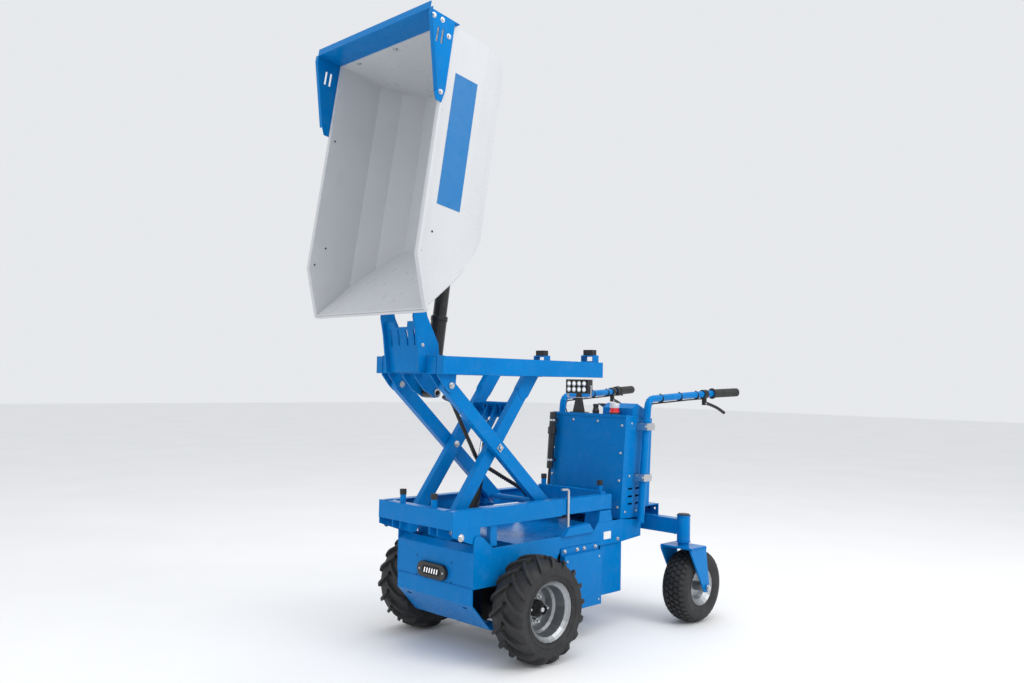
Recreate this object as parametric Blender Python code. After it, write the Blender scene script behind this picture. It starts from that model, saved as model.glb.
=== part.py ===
"""Walk-behind electric site dumper with a scissor lift and a high-tip bucket.

Metres, +X forward, +Y to the machine's left, +Z up, wheels standing on Z = 0.
Shapes are drawn with X measured from the front axle; AXLE_X puts the axle in
the part's own frame, whose origin is the middle of the machine's footprint.
"""
import math

import bmesh
import bpy
from mathutils import Vector

AXLE_X = 0.41615
GAP = 0.0003              # between pieces that touch

WHEEL_R = 0.205           # front drive tyre
WHEEL_W = 0.165
WHEEL_Y = 0.348           # its centre plane, from the middle
RIM_R = 0.108
CASTER_R = 0.165          # rear caster tyre
CASTER_W = 0.127
CASTER_RIM_R = 0.078
STEER_X = -0.909          # caster swivel axis
STEER_Y = 0.400
FORK_REACH = 0.060        # fork crown, before and behind the swivel axis
TRAIL = 0.068             # from the swivel axis back to the caster's axle

HALF_W = 0.233            # chassis side plates, outer faces
TUB_FRONT = 0.236
TUB_REAR = -0.820
TUB_BASE = 0.290
PLATE = 0.005

LIFT_FRONT = 0.343        # lower lift frame
LIFT_REAR = -0.603
LIFT_HALF = 0.227
LIFT_BASE = 0.521
LIFT_TOP = 0.592
RAIL_W = 0.040

PLAT_FRONT = 0.388        # upper platform
PLAT_REAR = -0.551
PLAT_HALF = 0.206
PLAT_BASE = 1.106
PLAT_TOP = 1.174

OUT_HALF = 0.3726         # outer arms, centre pin to end pin
OUT_ANGLE = math.radians(41.8)
IN_HALF = 0.3908          # inner arms, centre pin to end pin
IN_ANGLE = math.radians(53.8)
MID_X = 0.0403            # centre pins
MID_Z = 0.8146
ARM_H = 0.056
ARM_T = 0.029
OUT_Y = 0.1335            # outer arms, inner face
IN_Y = 0.0995             # inner arms, inner face
PIN_R = 0.010
BORE_R = 0.0105

LIFT_PIN = (0.060, 0.440)     # lift cylinder's lower pin
LIFT_EYE = (0.508, -0.012)    # its upper eye: along the inner arm and across it
LIFT_BARREL = 0.300
LIFT_DRIFT = (-0.006, -0.0185)  # farthest its pin strays from the rod: along, across
TILT_PIN = (0.276, 1.032)     # tilt cylinder's lower pin
TILT_BARREL = 0.290
TILT_DRIFT = (0.034, -0.027)
HINGE = (0.420, 1.3722)        # bucket hinge

TIP = math.radians(81.2)      # how far the bucket is tipped from level
RIM_POINT = (0.638, 1.517)    # front corner of the bucket's side rim, tipped
BUCKET_L = 0.862
BUCKET_HALF = 0.335
BUCKET_D = 0.379
LIP = (-0.180, 0.070)
HOOD_H = 0.106            # spill guard, above the rear rim
SHEET = 0.004
TOWER_Y = 0.096           # hinge tower plates, inner faces
HOSE_Y = 0.065
STOP_TOP = 0.6457         # rubber stops, just under the lowered platform
FRONT_STOP = (0.323, 0.096)
REAR_STOP = (-0.5835, 0.172)

CONSOLE_FRONT = -0.690
CONSOLE_REAR = -0.880
CONSOLE_HALF = 0.225
CONSOLE_BASE = 0.470
CONSOLE_TOP = 0.940
BAR_R = 0.0165
BAR_Y = 0.262
CABLE_R = 0.0035
BAR_BORE = BAR_R * 1.026 + GAP   # clears the bar whichever way its facets lie

BLUE = (0.02, 0.27, 0.72)
DARK = (0.03, 0.03, 0.035)
STEEL = (0.62, 0.63, 0.65)
WHITE = (0.82, 0.83, 0.84)
GREY = (0.45, 0.46, 0.48)


# ---------------------------------------------------------------- helpers

def new_object(name, mesh):
    """Link a mesh into the scene as an object."""
    obj = bpy.data.objects.new(name, mesh)
    bpy.context.scene.collection.objects.link(obj)
    return obj


def from_bmesh(bm):
    """Turn a bmesh into a temporary object with outward faces."""
    bmesh.ops.recalc_face_normals(bm, faces=bm.faces)
    mesh = bpy.data.meshes.new("raw")
    bm.to_mesh(mesh)
    bm.free()
    return new_object("raw", mesh)


def prism(points, low, high, axis="y"):
    """Extrude a flat outline along an axis; points hold the other two, in order."""
    def spot(pair, level):
        if axis == "x":
            return (level, pair[0], pair[1])
        if axis == "y":
            return (pair[0], level, pair[1])
        return (pair[0], pair[1], level)

    bm = bmesh.new()
    first = [bm.verts.new(spot(pair, low)) for pair in points]
    last = [bm.verts.new(spot(pair, high)) for pair in points]
    bm.faces.new(first)
    bm.faces.new(last)
    count = len(points)
    for i in range(count):
        j = (i + 1) % count
        bm.faces.new((first[i], first[j], last[j], last[i]))
    return from_bmesh(bm)


def box(x, y, z):
    """A block between pairs of limits."""
    return prism([(x[0], z[0]), (x[1], z[0]), (x[1], z[1]), (x[0], z[1])], y[0], y[1])


def disc_points(centre, radius, count=16, start=0.0, sweep=2 * math.pi):
    """Points around a circle, or along an arc when sweep is less than a turn."""
    steps = count if abs(sweep - 2 * math.pi) < 1e-9 else count - 1
    turns = [start + sweep * i / steps for i in range(count)]
    return [(centre[0] + radius * math.cos(t), centre[1] + radius * math.sin(t)) for t in turns]


def rod_y(centre, radius, low, high, count=16):
    """A round bar across the machine."""
    return prism(disc_points(centre, radius, count), low, high, "y")


def rod_z(centre, radius, low, high, count=16):
    """An upright round bar."""
    return prism(disc_points(centre, radius, count), low, high, "z")


def rod_x(centre, radius, low, high, count=16):
    """A round bar along the machine."""
    return prism(disc_points(centre, radius, count), low, high, "x")


def lathe(profile, centre, count=28, axis="y"):
    """Turn a closed (radius, offset) outline about an axis through centre."""
    bm = bmesh.new()
    rings = []
    for radius, offset in profile:
        ring = []
        for i in range(count if radius > 1e-6 else 1):
            a = 2 * math.pi * i / count
            u = radius * math.cos(a)
            v = radius * math.sin(a)
            local = (u, offset, v) if axis == "y" else (u, v, offset)
            ring.append(bm.verts.new(Vector(centre) + Vector(local)))
        rings.append(ring)
    for a, b in zip(rings, rings[1:] + rings[:1]):
        if len(a) == 1 and len(b) == 1:
            continue
        for i in range(count):
            j = (i + 1) % count
            corners = [a[i % len(a)], a[j % len(a)], b[j % len(b)], b[i % len(b)]]
            bm.faces.new(list(dict.fromkeys(corners)))
    return from_bmesh(bm)


def rounded_path(points, radius, steps=4):
    """Replace the inner corners of a path with arcs."""
    path = [Vector(points[0])]
    for before, corner, after in zip(points, points[1:], points[2:]):
        corner = Vector(corner)
        into = (corner - Vector(before)).normalized()
        out = (Vector(after) - corner).normalized()
        angle = into.angle(out)
        reach = radius * math.tan(angle / 2)
        start = corner - into * reach
        end = corner + out * reach
        for i in range(steps + 1):
            t = i / steps
            path.append(start * (1 - t) ** 2 + corner * 2 * t * (1 - t) + end * t ** 2)
    path.append(Vector(points[-1]))
    return path


def tube(points, radius, bend=0.05, count=12, bore=0.0):
    """A round bar or, with a bore, a pipe along a path with rounded corners."""
    path = rounded_path(points, bend)
    bm = bmesh.new()
    side = None
    shells = []
    for level in [radius] + ([bore] if bore else []):
        rings = []
        side = None
        for i, spot in enumerate(path):
            ahead = path[min(i + 1, len(path) - 1)] - path[max(i - 1, 0)]
            ahead.normalize()
            if side is None:
                side = ahead.orthogonal().normalized()
            side = (side - ahead * side.dot(ahead)).normalized()
            up = ahead.cross(side)
            turns = [2 * math.pi * k / count for k in range(count)]
            ring = [spot + side * math.cos(t) * level + up * math.sin(t) * level for t in turns]
            rings.append([bm.verts.new(v) for v in ring])
        for a, b in zip(rings, rings[1:]):
            for i in range(count):
                j = (i + 1) % count
                bm.faces.new((a[i], a[j], b[j], b[i]))
        shells.append(rings)
    for end in (0, -1):
        if bore:
            a, b = shells[0][end], shells[1][end]
            for i in range(count):
                j = (i + 1) % count
                bm.faces.new((a[i], a[j], b[j], b[i]))
        else:
            bm.faces.new(shells[0][end])
    return from_bmesh(bm)


def combine(base, others, operation):
    """Apply exact booleans to a base object and remove the pieces used."""
    for other in others:
        mod = base.modifiers.new("bool", "BOOLEAN")
        mod.operation = operation
        mod.solver = "EXACT"
        mod.object = other
        other.hide_render = True
        other.display_type = "WIRE"
    bpy.context.view_layer.update()
    graph = bpy.context.evaluated_depsgraph_get()
    mesh = bpy.data.meshes.new_from_object(base.evaluated_get(graph))
    base.modifiers.clear()
    base.data = mesh
    for other in others:
        bpy.data.objects.remove(other)
    return base


def fuse(parts, cuts=()):
    """Join overlapping pieces into one solid, then take the cuts away."""
    base = parts[0]
    if len(parts) > 1:
        base = combine(base, parts[1:], "UNION")
    if cuts:
        base = combine(base, list(cuts), "DIFFERENCE")
    return base


def move(obj, shift):
    """Shift a temporary piece."""
    for vert in obj.data.vertices:
        vert.co += Vector(shift)
    return obj


def turn(obj, pivot, angle):
    """Rotate a temporary piece about an axis across the machine (x, z pivot)."""
    c = math.cos(angle)
    s = math.sin(angle)
    for vert in obj.data.vertices:
        x = vert.co.x - pivot[0]
        z = vert.co.z - pivot[1]
        vert.co.x = pivot[0] + c * x + s * z
        vert.co.z = pivot[1] - s * x + c * z
    return obj


def mirrored(obj):
    """Mirror a temporary piece to the machine's other side."""
    bm = bmesh.new()
    bm.from_mesh(obj.data)
    for vert in bm.verts:
        vert.co.y = -vert.co.y
    bmesh.ops.reverse_faces(bm, faces=bm.faces)
    bm.to_mesh(obj.data)
    bm.free()
    return obj


def finish(obj, name, colour, rough=0.4, metal=0.0, origin=(0.0, 0.0, 0.0), smooth=35):
    """Name a piece, give it its material and set its origin on its joint."""
    mesh = obj.data
    bm = bmesh.new()
    bm.from_mesh(mesh)
    bmesh.ops.remove_doubles(bm, verts=bm.verts, dist=0.00001)
    bmesh.ops.dissolve_degenerate(bm, edges=bm.edges, dist=0.000005)
    bmesh.ops.dissolve_limit(bm, angle_limit=0.002, verts=bm.verts, edges=bm.edges)
    bmesh.ops.triangulate(bm, faces=[f for f in bm.faces if len(f.verts) > 4])
    for vert in bm.verts:
        vert.co -= Vector(origin)
    bm.to_mesh(mesh)
    bm.free()
    mesh.shade_smooth()
    mesh.set_sharp_from_angle(angle=math.radians(smooth))
    material = bpy.data.materials.new(name)
    material.use_nodes = True
    shader = material.node_tree.nodes["Principled BSDF"]
    shader.inputs["Base Color"].default_value = (*colour, 1.0)
    shader.inputs["Roughness"].default_value = rough
    shader.inputs["Metallic"].default_value = metal
    mesh.materials.clear()
    mesh.materials.append(material)
    obj.name = name
    mesh.name = name
    obj.location = (origin[0] + AXLE_X, origin[1], origin[2])
    return obj


# ---------------------------------------------------------------- chassis

def chassis_tub():
    """Folded side plates with pivot ears, front panel, deck and rear wall."""
    shape = [(0.5, HALF_W), (TUB_REAR + 0.012, HALF_W), (TUB_REAR, HALF_W - 0.012)]
    outline = shape + [(x, -y) for x, y in reversed(shape)]
    inner_y = HALF_W - PLATE
    inner_x = TUB_REAR + PLATE
    inside = [(0.6, inner_y), (inner_x + 0.008, inner_y), (inner_x, inner_y - 0.008)]
    hollow = inside + [(x, -y) for x, y in reversed(inside)]
    walls = fuse([prism(outline, 0.2, 0.6, "z")], [prism(hollow, 0.1, 0.7, "z")])
    ear_x = 0.219
    profile = [(TUB_FRONT, TUB_BASE), (TUB_FRONT, 0.478), (ear_x + 0.007, 0.490), (ear_x - 0.013, 0.490),
               (ear_x - 0.029, 0.482), (0.135, 0.436), (-0.475, 0.440), (-0.500, 0.472), (-0.660, 0.472),
               (TUB_REAR, 0.458), (TUB_REAR, 0.385), (-0.660, 0.372), (-0.250, 0.372), (-0.200, TUB_BASE)]
    walls = combine(walls, [prism(profile, -0.3, 0.3)], "INTERSECT")
    face = TUB_FRONT - 0.0005
    panel = prism([(face, TUB_BASE), (face, 0.425), (0.211, 0.449), (0.207, 0.445), (face - PLATE, 0.422),
                   (face - PLATE, TUB_BASE)], -inner_y - 0.002, inner_y + 0.002)
    deck = prism([(-0.020, 0.330), (-0.020, 0.430), (inner_x - 0.002, 0.430), (inner_x - 0.002, 0.426),
                  (-0.024, 0.426), (-0.024, 0.330)], -inner_y - 0.002, inner_y + 0.002)
    feet = []
    for side in (1, -1):
        foot = prism([(-0.500, 0.428), (-0.515, LIFT_BASE - GAP), (-0.590, LIFT_BASE - GAP), (-0.615, 0.428)],
                     0.150, HALF_W - 0.002)
        feet.append(foot if side == 1 else mirrored(foot))
        keeper = prism([(-0.262, 0.438), (-0.292, 0.470), (-0.424, 0.478), (-0.458, 0.439)],
                       HALF_W - 0.002, HALF_W + 0.016)
        feet.append(keeper if side == 1 else mirrored(keeper))
    return finish(fuse([walls, panel, deck] + feet), "chassis_tub", BLUE)


def skid_pan():
    """Folded guard under the chassis nose."""
    front = TUB_FRONT + 0.0005
    low = (0.136, 0.120)
    outline = [(front, TUB_BASE - GAP), (front, 0.2265), low, (low[0] - 0.090, low[1]),
               (low[0] - 0.090, low[1] + 0.004), (low[0] - 0.002, low[1] + 0.004), (front - 0.004, 0.228),
               (front - 0.004, TUB_BASE - GAP)]
    pan = prism(outline, -0.228, 0.228)
    slots = [box((0.150, 0.260), (y - 0.014, y + 0.014), (0.205, 0.212)) for y in (-0.17, 0.17)]
    return finish(fuse([pan], slots), "skid_pan", BLUE)


def front_lamp():
    """Oblong lamp on the nose."""
    width, height = 0.086, 0.030
    points = disc_points((width - height, 0.328), height, 9, -math.pi / 2, math.pi)
    points += disc_points((height - width, 0.328), height, 9, math.pi / 2, math.pi)
    lamp = prism(points, TUB_FRONT - 0.0005 + GAP, TUB_FRONT + 0.016, "x")
    return finish(lamp, "front_lamp", DARK, 0.35)


def transaxle():
    """Drive motor and gear case with axle tubes to both wheels."""
    case = box((-0.095, 0.085), (-0.120, 0.120), (0.128, 0.3255))
    reach = WHEEL_Y - 0.093
    shaft = rod_y((0.0, WHEEL_R), 0.036, -reach, reach)
    mount = box((-0.060, -0.026), (-0.150, 0.150), (0.318, 0.4257))
    return finish(fuse([case, shaft, mount]), "transaxle", DARK, 0.5)


def battery_block():
    """Batteries carried between the side boxes."""
    block = box((-0.505, -0.265), (-0.2275, 0.2275), (0.130, 0.4257))
    return finish(block, "battery_block", DARK, 0.6)


def side_box(side, name):
    """Outboard battery cover hung on the chassis side."""
    low = HALF_W + GAP
    outer = box((-0.497, -0.255), (low, low + 0.026), (0.128, 0.360))
    ledge = box((-0.497, -0.255), (low, low + 0.006), (0.350, 0.388))
    hollow = box((-0.494, -0.258), (low - 0.01, low + 0.023), (0.131, 0.348))
    cover = fuse([outer, ledge], [hollow])
    return finish(cover if side == 1 else mirrored(cover), name, BLUE)


def rear_box():
    """Cover of the controller and pump, under the rear of the chassis."""
    outer = box((-0.680, -0.530), (-0.222, 0.222), (0.150, 0.4257))
    hollow = box((-0.677, -0.533), (-0.219, 0.219), (0.153, 0.44))
    return finish(fuse([outer], [hollow]), "rear_box", BLUE)


def rear_bracket():
    """Inverted channel that carries the caster beam."""
    outer = box((-0.980, TUB_REAR - GAP), (-0.210, 0.210), (0.430, 0.515))
    hollow = box((-0.975, -0.868), (-0.3, 0.3), (0.4, 0.510))
    recess = box((-0.863, -0.80), (-0.205, 0.205), (0.4, 0.510))
    holes = [rod_x((y, 0.490), 0.006, -0.99, -0.970, 12) for y in (0.19, 0.16, 0.13)]
    return finish(fuse([outer], [hollow] + [recess] + holes), "rear_bracket", BLUE)


def rear_beam():
    """Rocking cross beam with a steering tube at each end."""
    beam = box((STEER_X - 0.025, STEER_X + 0.025), (-STEER_Y, STEER_Y), (0.402, 0.470))
    boss = rod_x((0.0, 0.452), 0.014, -0.975 + GAP, -0.868 - GAP)
    tubes = []
    caps = []
    for side in (1, -1):
        tubes.append(rod_z((STEER_X, side * STEER_Y), 0.0300, 0.368, 0.488, 20))
        caps.append(rod_z((STEER_X, side * STEER_Y), 0.0165, 0.360, 0.470, 16))
    return finish(fuse([beam, boss] + tubes, caps), "rear_beam", BLUE)


def caster_fork(side, name):
    """Swivel fork with its stem in the steering tube."""
    x, y = STEER_X, side * STEER_Y
    ax = x - TRAIL
    plate_z = 0.345
    reach = FORK_REACH
    plate = box((x - reach, x + reach), (y - 0.083, y + 0.083), (plate_z, plate_z + 0.008))
    stem = rod_z((x, y), 0.0160, plate_z + 0.004, 0.462, 16)
    collar = rod_z((x, y), 0.026, plate_z + 0.004, 0.368 - GAP, 16)
    parts = [plate, stem, collar]
    for sign in (1, -1):
        outline = [(x - reach, plate_z + 0.004), (x + reach, plate_z + 0.004), (x + reach, plate_z - 0.012),
                   (ax + 0.028, CASTER_R), (ax + 0.014, CASTER_R - 0.020), (ax - 0.010, CASTER_R - 0.020),
                   (ax - 0.021, CASTER_R), (x - reach, plate_z - 0.012)]
        near = y + sign * 0.075
        parts.append(prism(outline, min(near, near + sign * 0.008), max(near, near + sign * 0.008)))
    axle = rod_y((ax, CASTER_R), 0.008, y - 0.090, y + 0.090, 16)
    return finish(fuse(parts + [axle]), name, BLUE, origin=(x, y, plate_z))


def tyre(name, centre, radius, width, seat, count):
    """Pneumatic tyre as one closed ring, seated inside the rim's flanges."""
    half = width / 2
    wall = [(seat, half * 0.45), (seat + 0.0068, half * 0.675), (seat + 0.0135, half * 0.84),
            (radius * 0.79, half * 0.99), (radius * 0.88, half), (radius * 0.95, half * 0.90),
            (radius * 0.988, half * 0.70), (radius, half * 0.30)]
    profile = wall + [(r, -w) for r, w in reversed(wall)]
    return finish(lathe(profile, centre, count), name, DARK, 0.85, origin=centre)


def front_rim(name, side, centre):
    """Stepped drop-centre rim with hub; the dish faces outward."""
    half = WHEEL_W / 2
    seat = RIM_R - GAP
    profile = [(0.0, 0.012), (0.022, 0.012), (0.024, -0.012), (0.050, -0.016), (0.062, -0.030),
               (0.074, -0.030), (0.084, 0.000), (0.092, 0.010), (0.098, half * 0.66), (0.108, half * 0.76),
               (0.115, half * 0.86), (0.1170, half * 0.82), (seat + 0.005, half * 0.70), (seat, half * 0.50),
               (seat, -half * 0.50), (seat + 0.005, -half * 0.70), (0.1170, -half * 0.82),
               (0.115, -half * 0.86),
               (0.108, -half * 0.76), (0.098, -half * 0.66), (0.088, -0.040), (0.040, -0.040),
               (0.036, -0.0927), (0.0, -0.0927)]
    profile = [(r, w * side) for r, w in profile]
    return finish(lathe(profile, centre, 24), name, GREY, 0.35, 0.7, origin=centre)


def caster_rim(name, centre):
    """Caster rim with a bearing bore for the axle."""
    half = CASTER_W / 2
    seat = CASTER_RIM_R - GAP
    face = [(0.0085, 0.0745), (0.020, 0.0745), (0.021, 0.018), (0.050, 0.014), (0.060, half * 0.55),
            (0.078, half * 0.76), (0.085, half * 0.86), (0.0870, half * 0.82), (seat + 0.005, half * 0.70),
            (seat, half * 0.50)]
    profile = face + [(r, -w) for r, w in reversed(face)]
    return finish(lathe(profile, centre, 20), name, GREY, 0.35, 0.7, origin=centre)


# ---------------------------------------------------------------- console

def lean(z):
    """How far the console and bars lean back at a height."""
    return -0.075 * (z - CONSOLE_BASE)


def console_face(z):
    """Place of the console's front face at a height."""
    return CONSOLE_FRONT + 0.025 + lean(z)


def console_roof(x):
    """Height of the console's sloping top."""
    front = console_face(CONSOLE_TOP)
    rear = CONSOLE_REAR + lean(CONSOLE_TOP) / 2
    return CONSOLE_TOP - 0.020 * (front - x) / (front - rear)


def console_shell():
    """Sheet cabinet, open underneath, with a raised instrument hood."""
    low, top = CONSOLE_BASE, CONSOLE_TOP
    front, rear = CONSOLE_FRONT + 0.025, CONSOLE_REAR
    outer = prism([(front, low), (front + lean(top), top), (rear + lean(top) / 2, top - 0.020), (rear, 0.517),
                   (TUB_REAR, 0.517), (TUB_REAR, low)], -CONSOLE_HALF, CONSOLE_HALF)
    inner = prism([(front - 0.003, low - 0.1), (front - 0.003 + lean(top), top - 0.003),
                   (rear + 0.003 + lean(top) / 2, top - 0.023), (rear + 0.003, 0.520),
                   (TUB_REAR + 0.003, 0.520),
                   (TUB_REAR + 0.003, low - 0.1)], 0.003 - CONSOLE_HALF, CONSOLE_HALF - 0.003)
    hood = prism([(-0.752, top - 0.007), (-0.754, 0.968), (-0.788, 0.990), (-0.886, 0.946),
                  (-0.890, top - 0.0205)],
                 0.045, CONSOLE_HALF - 0.004)
    slots = []
    for column in (-0.736, -0.790):
        for row in range(3):
            z = 0.530 + 0.034 * row
            slots.append(box((column - 0.016, column + 0.016), (-0.3, 0.3), (z, z + 0.008)))
    return finish(fuse([outer, hood], [inner] + slots), "console_shell", BLUE)


def work_light():
    """Square lamp head on a bent bracket."""
    x, y = -0.728, -0.085
    head = box((x - 0.018, x + 0.016), (y - 0.070, y + 0.070), (1.030, 1.098))
    foot_z = console_roof(x + 0.016)
    foot = box((x - 0.030, x + 0.016), (y - 0.040, y + 0.040), (foot_z + GAP, foot_z + 0.004))
    stay = prism([(y - 0.038, foot_z + 0.002), (y + 0.038, foot_z + 0.002),
                  (y + 0.014, 1.034), (y - 0.014, 1.034)],
                 x - 0.003, x, "x")
    return finish(fuse([head, foot, stay]), "work_light", DARK, 0.4)


def beacon():
    """Warning beacon on the console."""
    x = -0.722
    low = console_roof(x + 0.024) + GAP
    profile = [(0.0, low), (0.024, low), (0.024, low + 0.012), (0.021, low + 0.014), (0.021, low + 0.038),
               (0.015, low + 0.048), (0.0, low + 0.050)]
    return finish(lathe(profile, (x, 0.140, 0.0), 16, "z"), "beacon", (0.7, 0.03, 0.03), 0.2)


def knob():
    """Black control knob on the console top."""
    x = -0.755
    low = console_roof(x + 0.016) + GAP
    profile = [(0.0, low), (0.016, low), (0.017, low + 0.012), (0.012, low + 0.030), (0.015, low + 0.045),
               (0.0, low + 0.048)]
    return finish(lathe(profile, (x, 0.000, 0.0), 12, "z"), "knob", DARK, 0.4)


def accumulator():
    """Black cylinder with a wider collar on the console front."""
    profile = [(0.0, 0.452), (0.006, 0.452), (0.006, 0.665), (0.015, 0.667), (0.016, 0.830), (0.021, 0.832),
               (0.021, 0.866), (0.016, 0.868), (0.016, 0.938), (0.0, 0.940)]
    x = console_face(CONSOLE_BASE) + 0.026
    body = lathe(profile, (x, -0.200, 0.0), 14, "z")
    turn(body, (x, CONSOLE_BASE), math.atan(lean(CONSOLE_BASE + 1.0)))
    straps = []
    for z in (0.700, 0.892):
        face = console_face(z)
        strap = prism([(face + GAP, z), (face + 0.026, z), (face + 0.026, z + 0.012),
                       (face + GAP + lean(CONSOLE_BASE + 0.012), z + 0.012)], -0.212, -0.188)
        straps.append(strap)
    return finish(fuse([body] + straps), "accumulator", DARK, 0.3)


def bar_path(side):
    """Centre line of one handlebar."""
    return [(-0.768, side * BAR_Y, 0.455), (-0.816, side * BAR_Y, 1.012), (-1.120, side * 0.272, 1.030),
            (-1.290, side * 0.296, 1.040), (-1.462, side * 0.332, 1.048)]


def handlebar(side, name):
    """Bent tube up the console's side and back to the grip."""
    bar = tube(bar_path(side), BAR_R, 0.045, 14)
    return finish(bar, name, BLUE)


def grip(side, name):
    """Rubber sleeve over the end of the bar."""
    start = Vector(bar_path(side)[3])
    end = Vector(bar_path(side)[4])
    ahead = (end - start).normalized()
    first = start + ahead * 0.004
    last = end + ahead * 0.004
    sleeve = tube([first, last], 0.021, 0.01, 14)
    bore = tube([first - ahead * 0.01, end + ahead * GAP], BAR_BORE, 0.01, 14)
    flange = tube([first, first + ahead * 0.006], 0.027, 0.01, 14)
    return finish(fuse([sleeve, flange], [bore]), name, DARK, 0.8)


def clamp(side, height, name):
    """Galvanised block that bolts the bar to the console's side."""
    low, high = bar_path(side)[:2]
    x = low[0] + (height - low[2]) / (high[2] - low[2]) * (high[0] - low[0])
    block = box((x - 0.030, x + 0.026), (CONSOLE_HALF + GAP, BAR_Y + 0.024), (height - 0.016, height + 0.016))
    path = [Vector(p) for p in bar_path(1)[:2]]
    bore = tube(path, BAR_BORE, 0.01, 14)
    block = fuse([block], [bore])
    return finish(block if side == 1 else mirrored(block), name, STEEL, 0.35, 0.8)


def brake_lever(side, name):
    """Lever bracket round the bar with a blade under the grip."""
    grip_start = Vector(bar_path(side)[3])
    along = (Vector(bar_path(side)[4]) - grip_start).normalized()
    before = Vector(bar_path(side)[2])
    ahead = (grip_start - before).normalized()
    start = grip_start - ahead * 0.066
    down = Vector((0.0, 0.0, -1.0))
    ring = tube([start, start + ahead * 0.028], 0.0225, 0.01, 14)
    neck = tube([start + ahead * 0.010 + down * 0.018, start + ahead * 0.022 + down * 0.050], 0.009)
    root = start + ahead * 0.016 + down * 0.046
    knee = grip_start + along * 0.010 + down * 0.058
    blade = tube([root, knee, grip_start + along * 0.095 + down * 0.100], 0.006, 0.02, 10)
    bore = tube([start - ahead * 0.02, start + ahead * 0.05], BAR_BORE, 0.01, 14)
    return finish(fuse([ring, neck, blade], [bore]), name, DARK, 0.4)


def control_cable(side, name):
    """Brake cable tied under the bar and led into the console's side."""
    drop = BAR_R + CABLE_R + 0.0018
    end = Vector(bar_path(side)[3])
    before = Vector(bar_path(side)[2])
    ahead = (end - before).normalized()
    low, high = bar_path(side)[:2]
    down = Vector((0.0, 0.0, -drop))
    slope = (high[0] - low[0]) / (high[2] - low[2])
    exit_z = 0.955
    exit_x = high[0] + (exit_z - high[2]) * slope - drop
    path = [end - ahead * (0.066 + GAP) + down, before + down,
            Vector((high[0] - drop, high[1], high[2] - drop)),
            Vector((exit_x, high[1], exit_z)), Vector((exit_x - 0.004, side * 0.250, 0.922)),
            Vector((exit_x - 0.004, side * (CONSOLE_HALF + GAP), 0.922))]
    return finish(tube(path, CABLE_R, 0.022, 8), name, DARK, 0.6)


# ---------------------------------------------------------------- lift

def channel(x, z, wall, outer_y):
    """Rail as a channel open toward the middle, on the left side."""
    body = box(x, (outer_y - RAIL_W, outer_y), z)
    across = (outer_y - RAIL_W - 0.01, outer_y - wall)
    cut = box((x[0] + wall, x[1] - wall), across, (z[0] + wall, z[1] - wall))
    return fuse([body], [cut])


def lift_frame():
    """Lower lift frame: crossbeams, channel rails, ears and stop posts."""
    parts = [box((LIFT_FRONT - RAIL_W, LIFT_FRONT), (-LIFT_HALF, LIFT_HALF), (LIFT_BASE, LIFT_TOP)),
             box((LIFT_REAR + 0.003, LIFT_REAR + 0.035), (-0.190, 0.190), (0.531, 0.598))]
    pin_x, pin_z = in_pin()
    for side in (1, -1):
        fore = channel((-0.270, LIFT_FRONT - 0.020), (LIFT_BASE, LIFT_TOP), 0.005, LIFT_HALF)
        aft = channel((LIFT_REAR, -0.266), (LIFT_BASE + 0.003, LIFT_TOP - 0.003), 0.004, LIFT_HALF - 0.003)
        across = (LIFT_HALF - 0.06, LIFT_HALF - 0.0085)
        way = box((-0.290, -0.240), across, (LIFT_BASE + 0.0078, LIFT_TOP - 0.0078))
        rail = fuse([fore, aft], [way])
        ear = prism([(0.341, 0.524), (0.200, 0.524), (0.198, 0.474), (0.206, 0.458), (0.219, 0.453),
                     (0.234, 0.458), (0.341, 0.497)], 0.2217, 0.2268)
        front_post = rod_z(FRONT_STOP, 0.012, LIFT_TOP - 0.005, STOP_TOP - 0.012, 16)
        rear_post = rod_z(REAR_STOP, 0.012, 0.590, STOP_TOP - 0.012, 16)
        pieces = [rail, ear, front_post, rear_post]
        for inner in (IN_Y - 0.0125, IN_Y + ARM_T + 0.0065):
            pieces.append(prism([(0.341, 0.524), (0.341, 0.492), (0.285, 0.469), (0.256, 0.471),
                                 (0.245, 0.499),
                                 (0.254, 0.520), (0.292, 0.556), (0.306, 0.560), (0.306, 0.524)],
                                inner, inner + 0.006))
        pieces.append(rod_y((pin_x, pin_z), PIN_R, IN_Y - 0.0130, IN_Y + ARM_T + 0.014))
        pieces.append(box((0.105, 0.140), (0.200, 0.2217), (0.441, 0.524)))
        parts += pieces if side == 1 else [mirrored(p) for p in pieces]
        lug = prism([(0.120, 0.474), (0.090, 0.470), (0.050, 0.455), (0.044, 0.440), (0.052, 0.426),
                     (0.066, 0.424), (0.120, 0.443)], 0.0235, 0.0295)
        parts.append(lug if side == 1 else mirrored(lug))
    parts.append(box((0.105, 0.140), (-0.2200, 0.2200), (0.442, 0.474)))
    parts.append(rod_y(LIFT_PIN, 0.008, -0.0300, 0.0300))
    return finish(fuse(parts), "lift_frame", BLUE)


def stop_cap(x, y, name):
    """Rubber cap on a stop post."""
    cap = rod_z((x, y), 0.0135, STOP_TOP - 0.021, STOP_TOP, 16)
    bore = rod_z((x, y), 0.012 + GAP, STOP_TOP - 0.03, STOP_TOP - 0.012 + GAP, 16)
    return finish(fuse([cap], [bore]), name, DARK, 0.85)


def lock_pin():
    """Bent steel pin through the rail's outer web into its keeper."""
    x = -0.306
    y = LIFT_HALF - 0.003 + GAP + 0.0055
    pin = tube([(x, y, 0.4717), (x, y, 0.630), (x + 0.044, y, 0.632)], 0.0055, 0.010, 12)
    return finish(pin, "lock_pin", STEEL, 0.3, 0.9)


def in_pin():
    """Lower front pin of the inner arms."""
    return (MID_X + IN_HALF * math.cos(IN_ANGLE), MID_Z - IN_HALF * math.sin(IN_ANGLE))


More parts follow.
